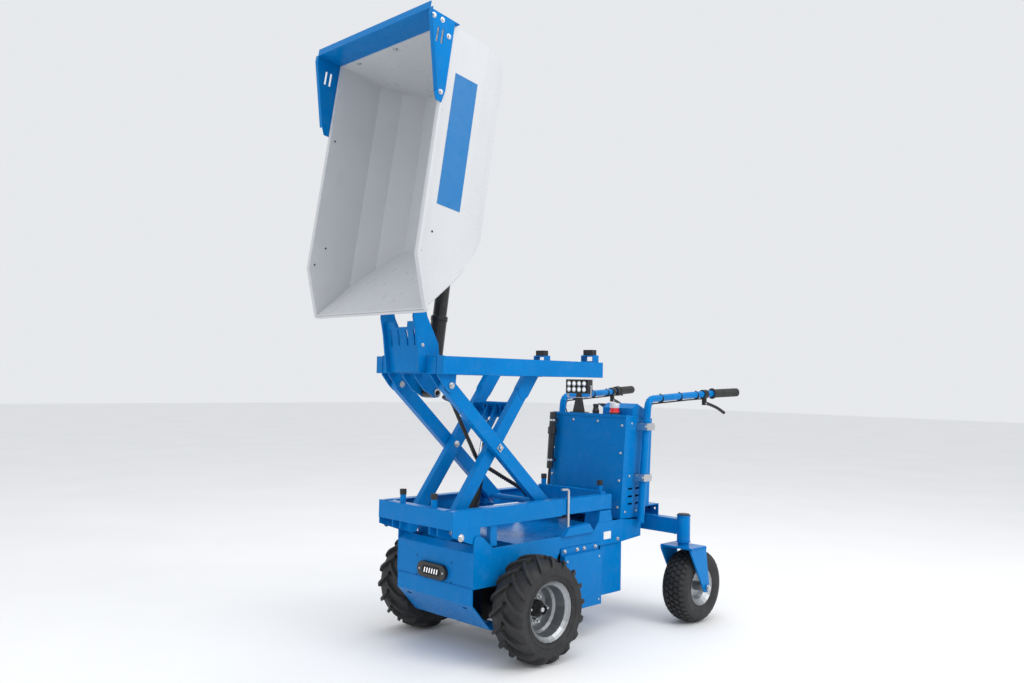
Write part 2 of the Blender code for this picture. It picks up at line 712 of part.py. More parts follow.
def out_pin():
    """Upper front pin of the outer arms."""
    return (MID_X + OUT_HALF * math.cos(OUT_ANGLE), MID_Z + OUT_HALF * math.sin(OUT_ANGLE))


def bar_between(a, b, half, low, high):
    """Flat bar with round ends between two pins in the side view."""
    heading = math.atan2(b[1] - a[1], b[0] - a[0])
    points = disc_points(b, half, 9, heading - math.pi / 2, math.pi)
    points += disc_points(a, half, 9, heading + math.pi / 2, math.pi)
    return prism(points, low, high)


def inner_arms():
    """Pair of inner arms with crossbar, lift lugs, centre pins and rollers."""
    low = in_pin()
    high = (2 * MID_X - low[0], 2 * MID_Z - low[1])
    ax, az = -math.cos(IN_ANGLE), math.sin(IN_ANGLE)
    parts = []
    cuts = []
    for side in (1, -1):
        arm = bar_between(low, high, ARM_H / 2, IN_Y, IN_Y + ARM_T)
        start = (high[0] - ax * 0.11, high[1] - az * 0.11)
        plate = bar_between(start, high, ARM_H / 2 + 0.004, IN_Y + 0.001, IN_Y + ARM_T + 0.002)
        pin = rod_y((MID_X, MID_Z), PIN_R, IN_Y + 0.01, OUT_Y + ARM_T + 0.006)
        shaft = rod_y(high, PIN_R, IN_Y + 0.01, PLAT_HALF - RAIL_W + 0.004)
        roller = rod_y(high, 0.012, PLAT_HALF - RAIL_W + 0.002, PLAT_HALF - 0.008)
        bore = rod_y(low, BORE_R, IN_Y - 0.01, IN_Y + ARM_T + 0.01)
        pieces = [arm, plate, pin, shaft, roller]
        parts += pieces if side == 1 else [mirrored(p) for p in pieces]
        cuts.append(bore if side == 1 else mirrored(bore))
    def along(s, n):
        return (low[0] + ax * s + az * n, low[1] + az * s - ax * n)

    across = IN_Y + 0.002
    web = [along(0.550, -0.022), along(0.550, -0.015), along(0.598, -0.015), along(0.598, -0.022)]
    flange = [along(0.591, -0.022), along(0.591, 0.026), along(0.598, 0.026), along(0.598, -0.022)]
    parts += [prism(web, -across, across), prism(flange, -across, across)]
    eye_s, eye_n = LIFT_EYE
    for side in (1, -1):
        lug = [along(eye_s - 0.018, eye_n - 0.012), along(eye_s - 0.018, eye_n + 0.012), along(0.594, 0.018),
               along(0.594, -0.019)]
        rib = [along(0.553, -0.018), along(0.594, 0.022), along(0.594, -0.018)]
        pieces = [prism(lug, 0.0215, 0.0275), prism(rib, 0.047, 0.053)]
        parts += pieces if side == 1 else [mirrored(p) for p in pieces]
    parts.append(rod_y(along(eye_s, eye_n), 0.008, -0.0270, 0.0270))
    return finish(fuse(parts, cuts), "inner_arms", BLUE, origin=(low[0], 0.0, low[1]))


def outer_arms():
    """Pair of outer arms with a cross tube and lower rollers."""
    high = out_pin()
    low = (2 * MID_X - high[0], 2 * MID_Z - high[1])
    parts = []
    cuts = []
    for side in (1, -1):
        arm = bar_between(low, high, ARM_H / 2, OUT_Y, OUT_Y + ARM_T)
        shaft = rod_y(low, PIN_R, OUT_Y + 0.01, 0.188)
        roller = rod_y(low, 0.013, 0.184, LIFT_HALF - 0.012)
        pieces = [arm, shaft, roller]
        parts += pieces if side == 1 else [mirrored(p) for p in pieces]
        for spot in ((MID_X, MID_Z), high):
            bore = rod_y(spot, BORE_R, OUT_Y - 0.01, OUT_Y + ARM_T + 0.01)
            cuts.append(bore if side == 1 else mirrored(bore))
    parts.append(rod_y(arm_spot(0.031 - OUT_HALF, -0.014), 0.013, -OUT_Y - 0.002, OUT_Y + 0.002))
    return finish(fuse(parts, cuts), "outer_arms", BLUE, origin=(MID_X, 0.0, MID_Z))


def arm_spot(s, n):
    """Side-view place along the outer arm from its centre pin, and across it."""
    c, w = math.cos(OUT_ANGLE), math.sin(OUT_ANGLE)
    return (MID_X + s * c - n * w, MID_Z + s * w + n * c)


def hydraulic_hose():
    """Sleeved hose hung between a bracket and the cross tube of the outer arms."""
    spots = [(0.300, 0.004), (0.255, 0.020), (0.150, -0.014), (-0.020, -0.062), (-0.150, -0.028),
             (-0.290, 0.012), (0.031 - OUT_HALF, 0.0105)]
    path = []
    for s, n in spots:
        x, z = arm_spot(s, n)
        path.append((x, HOSE_Y, z))
    hose = tube(path, 0.0075, 0.05, 10)
    bracket = rod_y(arm_spot(0.298, 0.004), 0.005, HOSE_Y, OUT_Y - GAP, 12)
    return finish(fuse([hose, bracket]), "hydraulic_hose", DARK, 0.6, origin=(MID_X, 0.0, MID_Z))


def platform():
    """Upper platform with ears, gussets, and the hinge tower in front."""
    z = (PLAT_BASE, PLAT_TOP)
    parts = [box((PLAT_FRONT - RAIL_W, PLAT_FRONT), (-PLAT_HALF, PLAT_HALF), z),
             box((PLAT_REAR, PLAT_REAR + RAIL_W), (0.03 - PLAT_HALF, PLAT_HALF - 0.03),
                 (PLAT_BASE + 0.001, PLAT_TOP - 0.001))]
    pin = out_pin()
    tower = [(0.386, 1.108), (0.4195, 1.108), (0.4375, 1.253), (0.4515, 1.320), (0.4515, 1.362),
             (0.440, 1.388), (0.420, 1.396), (0.402, 1.388), (0.384, 1.325), (0.326, 1.222), (0.320, 1.172),
             (0.386, 1.172)]
    for side in (1, -1):
        rail = channel((PLAT_REAR, PLAT_FRONT - 0.020), z, 0.004, PLAT_HALF)
        ear = prism([(0.386, 1.108), (0.386, 1.100), (0.350, 1.058), (0.327, 1.038), (0.309, 1.038),
                     (0.297, 1.052), (0.292, 1.108)], OUT_Y + ARM_T + 0.006, OUT_Y + ARM_T + 0.012)
        lug = prism([(0.386, 1.108), (0.386, 1.095), (0.338, 1.042), (0.284, 1.014), (0.266, 1.014),
                     (0.258, 1.032), (0.270, 1.052), (0.310, 1.108), (0.330, 1.135), (0.350, 1.135),
                     (0.350, 1.108)], 0.034, 0.040)
        axle = rod_y(pin, PIN_R, OUT_Y - 0.006, OUT_Y + ARM_T + 0.015)
        inner = prism([(0.386, 1.108), (0.386, 1.100), (0.350, 1.058), (0.327, 1.038), (0.309, 1.038),
                       (0.297, 1.052), (0.305, 1.108), (0.330, 1.135), (0.350, 1.135), (0.350, 1.108)],
                      OUT_Y - 0.0065, OUT_Y - 0.0015)
        plate = prism(tower, TOWER_Y, TOWER_Y + 0.008)
        pad = box((PLAT_REAR + 0.002, PLAT_REAR + 0.042), (0.112, 0.182), (PLAT_TOP - 0.002, 1.206))
        hollow = box((PLAT_REAR - 0.01, PLAT_REAR + 0.06), (0.116, 0.178), (1.180, 1.200))
        pad = fuse([pad], [hollow])
        pieces = [rail, ear, lug, axle, inner, plate, pad]
        parts += pieces if side == 1 else [mirrored(p) for p in pieces]
    web = prism([(0.386, 1.112), (0.400, 1.112), (0.420, 1.253), (0.434, 1.306), (0.428, 1.306),
                 (0.410, 1.240),
                 (0.386, 1.150)], -TOWER_Y - 0.002, TOWER_Y + 0.002)
    parts.append(web)
    parts.append(rod_y(HINGE, PIN_R, -TOWER_Y - 0.013, TOWER_Y + 0.013))
    parts.append(rod_y(TILT_PIN, PIN_R, -0.042, 0.042))
    cuts = [box((0.39, 0.50), (y - 0.005, y + 0.005), (1.215, 1.275)) for y in (-0.072, -0.026, 0.026, 0.072)]
    cuts.append(prism([(-0.050, 1.32), (-0.035, 1.285), (0.035, 1.285), (0.050, 1.32)], 0.39, 0.50, "x"))
    return finish(fuse(parts, cuts), "platform", BLUE, origin=(pin[0], 0.0, pin[1]))


def bucket_pad(side, name):
    """Rubber block under the lowered bucket."""
    middle = side * 0.147
    pad = box((PLAT_REAR + 0.006, PLAT_REAR + 0.038), (middle - 0.025, middle + 0.025), (1.206 + GAP, 1.2305))
    return finish(pad, name, DARK, 0.85)


def cylinder(start, end, radius, bore, from_s, to_s, bore_s=None, count=16):
    """Round bar between distances along a line in the side view, with a bore."""
    a = Vector((start[0], 0.0, start[1]))
    ahead = (Vector((end[0], 0.0, end[1])) - a).normalized()
    body = tube([a + ahead * from_s, a + ahead * to_s], radius, 0.01, count)
    if bore:
        hole = tube([a + ahead * bore_s, a + ahead * (to_s + 0.02)], bore, 0.01, count)
        body = fuse([body], [hole])
    return body


def lift_eye():
    """Upper eye of the lift cylinder."""
    low = in_pin()
    ax, az = -math.cos(IN_ANGLE), math.sin(IN_ANGLE)
    s, n = LIFT_EYE
    return (low[0] + ax * s + az * n, low[1] + az * s - ax * n)


def open_eye(start, eye, slot, radius):
    """Cutter that opens a rod's eye along the line its pin drifts on."""
    ahead = (Vector((eye[0], eye[1])) - Vector((start[0], start[1]))).normalized()
    across = Vector((-ahead[1], ahead[0]))
    way = (ahead * slot[0] + across * slot[1]).normalized()
    reach = math.hypot(*slot)
    begin = Vector(eye) + way * 0.0015
    end = Vector(eye) + way * (reach + 0.0015)
    return bar_between(tuple(begin), tuple(end), radius, -0.05, 0.05)


def lift_cylinder():
    """Lift cylinder: barrel on the lift frame, rod to the inner arms."""
    eye = lift_eye()
    length = math.dist(LIFT_PIN, eye)
    barrel = cylinder(LIFT_PIN, eye, 0.026, 0.0145, 0.026, LIFT_BARREL, 0.050)
    end = rod_y(LIFT_PIN, 0.018, -0.020, 0.020)
    neck = cylinder(LIFT_PIN, eye, 0.014, 0, 0.012, 0.032)
    barrel = fuse([end, neck, barrel], [rod_y(LIFT_PIN, 0.0085, -0.03, 0.03)])
    finish(barrel, "lift_barrel", DARK, 0.35, origin=(LIFT_PIN[0], 0.0, LIFT_PIN[1]))
    rod = cylinder(LIFT_PIN, eye, 0.014, 0, LIFT_BARREL - 0.095, length - 0.010)
    head = rod_y(eye, 0.018, -0.018, 0.018)
    cuts = [rod_y(eye, 0.0085, -0.03, 0.03), open_eye(LIFT_PIN, eye, LIFT_DRIFT, 0.0112)]
    rod = fuse([rod, head], cuts)
    finish(rod, "lift_rod", STEEL, 0.2, 0.9, origin=(eye[0], 0.0, eye[1]))


def bucket_point(u, w):
    """Side-view place of a bucket point: u back along the rim, w down, tipped."""
    s, c = math.sin(TIP), math.cos(TIP)
    return (RIM_POINT[0] - u * c - w * s, RIM_POINT[1] + u * s - w * c)


def tilt_eye():
    """Upper eye of the tilt cylinder, under the bucket floor."""
    return bucket_point(0.350, BUCKET_D + 0.035)


def tilt_cylinder():
    """Two-stage tilt cylinder between the platform and the bucket floor."""
    eye = tilt_eye()
    length = math.dist(TILT_PIN, eye)
    barrel = cylinder(TILT_PIN, eye, 0.032, 0.0285, 0.030, TILT_BARREL, 0.038)
    end = rod_y(TILT_PIN, 0.020, -0.030, 0.030)
    neck = cylinder(TILT_PIN, eye, 0.020, 0, 0.012, 0.034)
    barrel = fuse([end, neck, barrel], [rod_y(TILT_PIN, BORE_R, -0.04, 0.04)])
    finish(barrel, "tilt_barrel", DARK, 0.35, origin=(TILT_PIN[0], 0.0, TILT_PIN[1]))
    low = TILT_BARREL - 0.025
    stage = cylinder(TILT_PIN, eye, 0.0280, 0.0185, low, low + 0.250, low - 0.01)
    finish(stage, "tilt_stage", STEEL, 0.2, 0.9, origin=(TILT_PIN[0], 0.0, TILT_PIN[1]))
    rod_low = low + 0.250 - 0.030
    rod = cylinder(TILT_PIN, eye, 0.0180, 0, rod_low, length - 0.010)
    head = rod_y(eye, 0.020, -0.018, 0.018)
    cuts = [rod_y(eye, 0.0095, -0.03, 0.03), open_eye(TILT_PIN, eye, TILT_DRIFT, 0.0115)]
    rod = fuse([rod, head], cuts)
    finish(rod, "tilt_rod", STEEL, 0.2, 0.9, origin=(eye[0], 0.0, eye[1]))


# ---------------------------------------------------------------- bucket

def bucket_body(inset):
    """Bucket's outer or, with an inset, inner form, level, in rim axes."""
    t = inset
    reach = 0.4 if t else 0.0
    half = BUCKET_HALF - t
    across = [(half, 0.02 * bool(t)), (half, -0.200 - t * 0.3), (0.300 - t * 0.8, -0.292),
              (0.235 - t * 0.6, t - BUCKET_D)]
    if t:
        across[0] = (half, reach)
    outline = across + [(-y, z) for y, z in reversed(across)]
    body = prism(outline, -BUCKET_L - 0.05, 0.25, "x")
    slope = t * 1.45
    rise = (BUCKET_D - LIP[1]) / (0.160 - LIP[0])
    side = [(-LIP[0] - slope, -LIP[1]), (-0.160 - t * 0.35, t - BUCKET_D),
            (0.006 - BUCKET_L + t, t - BUCKET_D), (-BUCKET_L + t, 0.0)]
    if t:
        side = [(-LIP[0] - slope + 0.4, -LIP[1] + 0.4 * rise), side[1], side[2], (-BUCKET_L + t, 0.02),
                (-BUCKET_L + t, reach), (0.6, reach)]
    else:
        side.append((0.0, 0.0))
    return combine(body, [prism(side, -0.6, 0.6)], "INTERSECT")


def front_wall(z):
    """Rim-axes place 2 mm inside the bucket's front wall at a height."""
    share = (z + LIP[1]) / (LIP[1] - BUCKET_D)
    return (-LIP[0] + share * (-0.160 + LIP[0]) - 0.002, z)


def bucket():
    """Sheet bucket with folded sides, flanged rim, hinge lugs and cylinder lugs."""
    shell = fuse([bucket_body(0.0)], [bucket_body(SHEET)])
    parts = [shell]
    for side in (1, -1):
        flange = prism([(-BUCKET_L, 0.0), (0.0, 0.0), (-LIP[0], -LIP[1]), (-LIP[0], -LIP[1] - 0.014),
                        (0.004, -0.014), (-BUCKET_L, -0.014)], BUCKET_HALF - 0.002, BUCKET_HALF + 0.014)
        hinge = level_point(HINGE)
        lug = prism([(hinge[0] - 0.020, hinge[1]), (hinge[0] - 0.012, hinge[1] - 0.018),
                     (hinge[0] + 0.012, hinge[1] - 0.018), (hinge[0] + 0.020, hinge[1]),
                     front_wall(hinge[1] + 0.092), front_wall(hinge[1] + 0.022)], 0.0815, 0.0895)
        eye = (-0.350, -BUCKET_D - 0.035)
        clevis = prism([(eye[0] - 0.014, eye[1]), (eye[0] - 0.008, eye[1] - 0.013),
                        (eye[0] + 0.008, eye[1] - 0.013),
                        (eye[0] + 0.014, eye[1]), (eye[0] + 0.035, -BUCKET_D + 0.002),
                        (eye[0] - 0.035, -BUCKET_D + 0.002)], 0.022, 0.028)
        pieces = [flange, lug, clevis]
        parts += pieces if side == 1 else [mirrored(p) for p in pieces]
    parts.append(rod_y((-0.350, -BUCKET_D - 0.035), 0.009, -0.027, 0.027))
    bores = [rod_y(level_point(HINGE), BORE_R, y - 0.02, y + 0.02) for y in (0.0855, -0.0855)]
    body = fuse(parts, bores)
    return finish(tipped(body), "bucket", WHITE, 0.35, origin=(HINGE[0], 0.0, HINGE[1]))


def level_point(spot):
    """Rim-axes place (x forward, z up, from the rim corner) of a side-view point."""
    s, c = math.sin(TIP), math.cos(TIP)
    dx = spot[0] - RIM_POINT[0]
    dz = spot[1] - RIM_POINT[1]
    return (c * dx - s * dz, s * dx + c * dz)


def tipped(obj):
    """Turn a level, rim-axes piece to the bucket's tipped place."""
    turn(obj, (0.0, 0.0), TIP)
    return move(obj, (RIM_POINT[0], 0.0, RIM_POINT[1]))


def hood():
    """Spill guard bolted round the bucket's rear rim."""
    half = BUCKET_HALF + 0.0145
    rear = -BUCKET_L
    tall = HOOD_H
    back = box((rear - 0.004, rear - GAP), (-half - 0.003, half + 0.003), (-0.035, tall))
    lipping = box((rear - 0.028, rear - 0.001), (-half - 0.003, half + 0.003), (tall - 0.003, tall))
    parts = [back, lipping]
    for side in (1, -1):
        wing = prism([(rear - 0.004, -0.014), (rear - 0.004, tall), (rear + 0.020, tall), (-0.585, 0.036),
                      (-0.555, 0.022), (-0.555, -0.004), (-0.600, -0.014)], half, half + 0.003)
        flange = prism([(rear - 0.003, tall - 0.003), (rear + 0.020, tall - 0.003), (-0.585, 0.033),
                        (-0.585, 0.036), (rear + 0.020, tall), (rear - 0.003, tall)],
                       half + 0.001, half + 0.018)
        slots = [box((-0.815, -0.760), (half - 0.01, half + 0.01), (z, z + 0.009)) for z in (0.030, 0.052)]
        wing = fuse([wing, flange], slots)
        parts.append(wing if side == 1 else mirrored(wing))
    return finish(tipped(fuse(parts)), "hood", BLUE, 0.4, origin=(HINGE[0], 0.0, HINGE[1]))


# ---------------------------------------------------------------- build

def build_wheels():
    """Front drive wheels and rear casters."""
    for side, word in ((1, "left"), (-1, "right")):
        centre = (0.0, side * WHEEL_Y, WHEEL_R)
        tyre("front_tyre_" + word, centre, WHEEL_R, WHEEL_W, RIM_R, 24)
        front_rim("front_rim_" + word, side, centre)
        caster_fork(side, "caster_fork_" + word)
        centre = (STEER_X - TRAIL, side * STEER_Y, CASTER_R)
        tyre("caster_tyre_" + word, centre, CASTER_R, CASTER_W, CASTER_RIM_R, 20)
        caster_rim("caster_rim_" + word, centre)


def build_chassis():
    """Everything fixed to the chassis."""
    chassis_tub()
    skid_pan()
    front_lamp()
    transaxle()
    battery_block()
    rear_box()
    rear_bracket()
    rear_beam()
    console_shell()
    work_light()
    beacon()
    knob()
    accumulator()
    lift_frame()
    for side, word in ((1, "left"), (-1, "right")):
        side_box(side, "side_box_" + word)
        handlebar(side, "handlebar_" + word)
        grip(side, "grip_" + word)
        brake_lever(side, "brake_lever_" + word)
        clamp(side, 0.654, "lower_clamp_" + word)
        clamp(side, 0.886, "upper_clamp_" + word)
        control_cable(side, "control_cable_" + word)
        stop_cap(FRONT_STOP[0], side * FRONT_STOP[1], "front_stop_" + word)
        stop_cap(REAR_STOP[0], side * REAR_STOP[1], "rear_stop_" + word)
    lock_pin()


def build_lift():
    """Scissor arms, platform, bucket and cylinders."""
    inner_arms()
    outer_arms()
    hydraulic_hose()
    platform()
    bucket_pad(1, "bucket_pad_left")
    bucket_pad(-1, "bucket_pad_right")
    lift_cylinder()
    tilt_cylinder()
    bucket()
    hood()


def build():
    """Clear the file and build the whole machine."""
    for obj in list(bpy.data.objects):
        bpy.data.objects.remove(obj)
    build_wheels()
    build_chassis()
    build_lift()


build()
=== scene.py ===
"""Looks of the walk-behind site dumper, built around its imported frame."""
import math

import bmesh
import bpy
from mathutils import Matrix, Vector


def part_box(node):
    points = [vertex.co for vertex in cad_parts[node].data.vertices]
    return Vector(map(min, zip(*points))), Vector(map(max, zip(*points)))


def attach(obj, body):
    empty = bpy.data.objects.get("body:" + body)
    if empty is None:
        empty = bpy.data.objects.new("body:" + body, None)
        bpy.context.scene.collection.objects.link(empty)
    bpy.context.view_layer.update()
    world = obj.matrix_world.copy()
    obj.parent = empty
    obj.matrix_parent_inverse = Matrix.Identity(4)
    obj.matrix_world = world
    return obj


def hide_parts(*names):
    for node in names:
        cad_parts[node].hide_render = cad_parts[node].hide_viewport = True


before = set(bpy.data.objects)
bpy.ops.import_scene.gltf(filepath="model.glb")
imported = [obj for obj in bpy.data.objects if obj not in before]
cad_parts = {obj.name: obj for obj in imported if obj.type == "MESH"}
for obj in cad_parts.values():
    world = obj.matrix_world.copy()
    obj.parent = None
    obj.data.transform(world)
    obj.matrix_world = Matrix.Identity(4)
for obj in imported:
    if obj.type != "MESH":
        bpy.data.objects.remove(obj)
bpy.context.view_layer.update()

AXLE = (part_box("front_tyre_left")[0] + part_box("front_tyre_left")[1]) / 2
AX = AXLE.x                       # front axle's place along the machine
SIDES = (("left", 1), ("right", -1))
HALF_W = 0.233                    # outer faces of the body's side plates
WHEEL_Y = 0.348                   # centre planes of the drive wheels
CASTER_Y = 0.400                  # centre planes of the casters
FOOT_PIN_Y = 0.1400               # ends of the pins below the inner arms
SCISSOR_X, SCISSOR_Z = 0.0403, 0.8146
INNER_TURN, OUTER_TURN = math.radians(53.8), math.radians(41.8)
HINGE_X, HINGE_Z = 0.420, 1.3722  # bucket's hinge pin
CONSOLE_HALF = 0.225
TIP = math.radians(81.2)
RIM_CORNER = Vector((AX + 0.638, 0.0, 1.517))
BUCKET_L = 0.862
BUCKET_D = 0.379
BUCKET_HALF = 0.335


# ---------------------------------------------------------------- materials

def shader(name):
    """New node material and its Principled shader."""
    mat = bpy.data.materials.new(name)
    mat.use_nodes = True
    return mat, mat.node_tree, mat.node_tree.nodes["Principled BSDF"]


def noise(tree, scale, detail=4.0, rough=0.55, stretch=None):
    """Noise over the object's own coordinates, in metres."""
    coord = tree.nodes.new("ShaderNodeTexCoord")
    out = coord.outputs["Object"]
    if stretch:
        mapping = tree.nodes.new("ShaderNodeMapping")
        mapping.inputs["Scale"].default_value = stretch
        tree.links.new(out, mapping.inputs["Vector"])
        out = mapping.outputs["Vector"]
    tex = tree.nodes.new("ShaderNodeTexNoise")
    tex.inputs["Scale"].default_value = scale
    tex.inputs["Detail"].default_value = detail
    tex.inputs["Roughness"].default_value = rough
    tree.links.new(out, tex.inputs["Vector"])
    return tex.outputs["Fac"]


def ramp(tree, source, low, high, a=0.0, b=1.0):
    """Stretch a value between two limits."""
    node = tree.nodes.new("ShaderNodeMapRange")
    node.inputs["From Min"].default_value = low
    node.inputs["From Max"].default_value = high
    node.inputs["To Min"].default_value = a
    node.inputs["To Max"].default_value = b
    tree.links.new(source, node.inputs["Value"])
    return node.outputs["Result"]


def mix(tree, factor, a, b):
    """Blend two colours, each a socket or a plain value."""
    node = tree.nodes.new("ShaderNodeMix")
    node.data_type = "RGBA"
    for socket, value in ((node.inputs[0], factor), (node.inputs[6], a), (node.inputs[7], b)):
        if isinstance(value, bpy.types.NodeSocket):
            tree.links.new(value, socket)
        elif isinstance(value, (int, float)):
            socket.default_value = value
        else:
            socket.default_value = (*value, 1.0)
    return node.outputs[2]


def times(tree, a, b, operation="MULTIPLY"):
    """Arithmetic on two values."""
    node = tree.nodes.new("ShaderNodeMath")
    node.operation = operation
    for socket, value in zip(node.inputs, (a, b)):
        if isinstance(value, bpy.types.NodeSocket):
            tree.links.new(value, socket)
        else:
            socket.default_value = value
    return node.outputs[0]


def edge_mask(tree, radius, low=0.02, high=0.35):
    """Where a surface turns sharply: 1 along edges, 0 on flats."""
    bevel = tree.nodes.new("ShaderNodeBevel")
    bevel.samples = 4
    bevel.inputs["Radius"].default_value = radius
    geo = tree.nodes.new("ShaderNodeNewGeometry")
    dot = tree.nodes.new("ShaderNodeVectorMath")
    dot.operation = "DOT_PRODUCT"
    tree.links.new(bevel.outputs["Normal"], dot.inputs[0])
    tree.links.new(geo.outputs["Normal"], dot.inputs[1])
    flat = times(tree, 1.0, dot.outputs["Value"], "SUBTRACT")
    return ramp(tree, flat, low, high)


def relief(tree, bsdf, height, strength, distance, soft=None):
    """Bump a shader, over edges softened by a small radius."""
    bump = tree.nodes.new("ShaderNodeBump")
    bump.inputs["Strength"].default_value = strength
    bump.inputs["Distance"].default_value = distance
    tree.links.new(height, bump.inputs["Height"])
    if soft:
        bevel = tree.nodes.new("ShaderNodeBevel")
        bevel.samples = 4
        bevel.inputs["Radius"].default_value = soft
        tree.links.new(bevel.outputs["Normal"], bump.inputs["Normal"])
    tree.links.new(bump.outputs["Normal"], bsdf.inputs["Normal"])


def paint(name, colour, dark, rough=0.24, soft=0.0035, wear=(0.25, 0.27, 0.30), amount=0.15, coat=0.05,
          gloss=(0.10, 0.55, 1.0)):
    """Powder coat: slight orange peel, faint tone drift, thin worn edges."""
    mat, tree, bsdf = shader(name)
    tone = ramp(tree, noise(tree, 3.2, 5.0), 0.35, 0.68)
    base = mix(tree, tone, colour, dark)
    dust = ramp(tree, noise(tree, 22.0, 8.0, 0.7), 0.50, 0.85, 0.0, 0.04)
    base = mix(tree, dust, base, (0.62, 0.63, 0.62))
    if amount:
        chips = ramp(tree, noise(tree, 130.0, 6.0, 0.75), 0.60, 0.66)
        worn = times(tree, edge_mask(tree, 0.0016), chips)
        base = mix(tree, times(tree, worn, amount), base, wear)
    tree.links.new(base, bsdf.inputs["Base Color"])
    tree.links.new(ramp(tree, noise(tree, 14.0, 6.0), 0.3, 0.75, rough - 0.05, rough + 0.10),
                   bsdf.inputs["Roughness"])
    bsdf.inputs["Specular IOR Level"].default_value = 0.17
    bsdf.inputs["Specular Tint"].default_value = (*gloss, 1.0)
    bsdf.inputs["Coat Weight"].default_value = coat
    bsdf.inputs["Coat Roughness"].default_value = 0.13
    relief(tree, bsdf, noise(tree, 420.0, 2.0), 0.10, 0.0004, soft)
    return mat


def metal(name, colour, rough, stretch=None, tint=(0.35, 0.34, 0.32), bump=0.08, scale=260.0, soft=0.0008):
    """Bare or plated metal with brushed or crystalline grain and light tarnish."""
    mat, tree, bsdf = shader(name)
    grain = noise(tree, scale, 5.0, 0.6, stretch)
    stain = ramp(tree, noise(tree, 18.0, 6.0, 0.65), 0.50, 0.78, 0.0, 0.55)
    base = mix(tree, ramp(tree, grain, 0.3, 0.7), colour, tuple(c * 0.78 for c in colour))
    tree.links.new(mix(tree, stain, base, tint), bsdf.inputs["Base Color"])
    bsdf.inputs["Metallic"].default_value = 1.0
    tree.links.new(ramp(tree, grain, 0.25, 0.75, rough * 0.8, rough * 1.3), bsdf.inputs["Roughness"])
    relief(tree, bsdf, grain, bump, 0.0003, soft)
    return mat


def polymer(name, colour, rough, bump=0.12, scale=300.0, dusty=0.10, soft=0.001, dust=(0.30, 0.30, 0.29)):
    """Moulded plastic or rubber: grained, dulled by dust in patches, with a painted highlight of lighter
    colour along sharp edges.
    """
    mat, tree, bsdf = shader(name)
    patch = ramp(tree, noise(tree, 9.0, 7.0, 0.7), 0.45, 0.80, 0.0, dusty)
    base = mix(tree, patch, colour, dust)
    if soft:
        # painted highlight: where soft is set, sharp edges are lightened towards a brighter copy of the
        # colour
        edge = times(tree, edge_mask(tree, 0.002), 0.12)
        base = mix(tree, edge, base, tuple(min(1.0, c * 3 + 0.05) for c in colour))
    tree.links.new(base, bsdf.inputs["Base Color"])
    tree.links.new(ramp(tree, noise(tree, 30.0, 5.0), 0.3, 0.7, rough - 0.06, rough + 0.10),
                   bsdf.inputs["Roughness"])
    relief(tree, bsdf, noise(tree, scale, 3.0), bump, 0.0005, soft)
    return mat


def glow(name, colour, strength, rough=0.15):
    """Lens that glows by emission: the light of a lit chamber on lamps, a painted reflection where it covers
    no lamp.
    """
    mat, tree, bsdf = shader(name)
    base = mix(tree, ramp(tree, noise(tree, 220.0, 2.0), 0.3, 0.7), colour, tuple(c * 0.8 for c in colour))
    tree.links.new(base, bsdf.inputs["Base Color"])
    tree.links.new(base, bsdf.inputs["Emission Color"])
    bsdf.inputs["Emission Strength"].default_value = strength
    tree.links.new(ramp(tree, noise(tree, 60.0, 2.0), 0.3, 0.7, rough, rough + 0.1), bsdf.inputs["Roughness"])
    bsdf.inputs["Coat Weight"].default_value = 0.8
    relief(tree, bsdf, noise(tree, 500.0, 2.0), 0.1, 0.0004)
    return mat


BLUE = paint("azure_powder_coat", (0.0004, 0.184, 0.525), (0.0004, 0.164, 0.478))
WELD = paint("azure_over_weld", (0.0005, 0.165, 0.500), (0.0005, 0.145, 0.450), 0.30, 0.0, amount=0.1)
WHITE = paint("white_powder_coat", (0.600, 0.615, 0.632), (0.565, 0.580, 0.598), 0.30, 0.0,
              (0.42, 0.42, 0.42), 0.0, 0.30, (1.0, 1.0, 1.0))
BEAD_WHITE = paint("white_over_weld", (0.60, 0.615, 0.63), (0.56, 0.575, 0.59), 0.34, 0.0, amount=0.0,
                   gloss=(1.0, 1.0, 1.0))
SKIN = polymer("blue_vinyl", (0.003, 0.160, 0.430), 0.30, 0.04, 500.0, 0.04, 0.0)
LABEL = polymer("white_vinyl", (0.82, 0.82, 0.80), 0.40, 0.04, 500.0, 0.03, 0.0, (0.6, 0.6, 0.58))
RUBBER = polymer("tyre_rubber_black", (0.013, 0.013, 0.014), 0.62, 0.25, 260.0, 0.22, 0.0015,
                 (0.10, 0.098, 0.094))
BLACK = polymer("black_moulding", (0.012, 0.012, 0.013), 0.42, 0.16, 420.0, 0.10, 0.001)
GRIP = polymer("grip_rubber", (0.016, 0.016, 0.017), 0.60, 0.30, 180.0, 0.12, 0.001)
SLEEVE = polymer("hose_sleeve", (0.010, 0.010, 0.011), 0.50, 0.20, 240.0, 0.12, 0.0)
ENAMEL = paint("black_enamel", (0.012, 0.012, 0.013), (0.020, 0.020, 0.021), 0.30, 0.0012,
               (0.20, 0.19, 0.18), 0.5, 0.3, (1.0, 1.0, 1.0))
CASE = polymer("battery_case", (0.020, 0.020, 0.022), 0.55, 0.12, 200.0, 0.18)
SILVER = metal("rim_silver", (0.42, 0.44, 0.46), 0.42, None, (0.30, 0.31, 0.32), 0.10, 300.0, 0.0015)
ZINC = metal("zinc_plate", (0.66, 0.67, 0.69), 0.30, None, (0.46, 0.44, 0.38), 0.10, 340.0)
CHROME = metal("hard_chrome", (0.72, 0.73, 0.75), 0.10, (1.0, 1.0, 40.0), (0.5, 0.5, 0.5), 0.02, 90.0, 0.0)
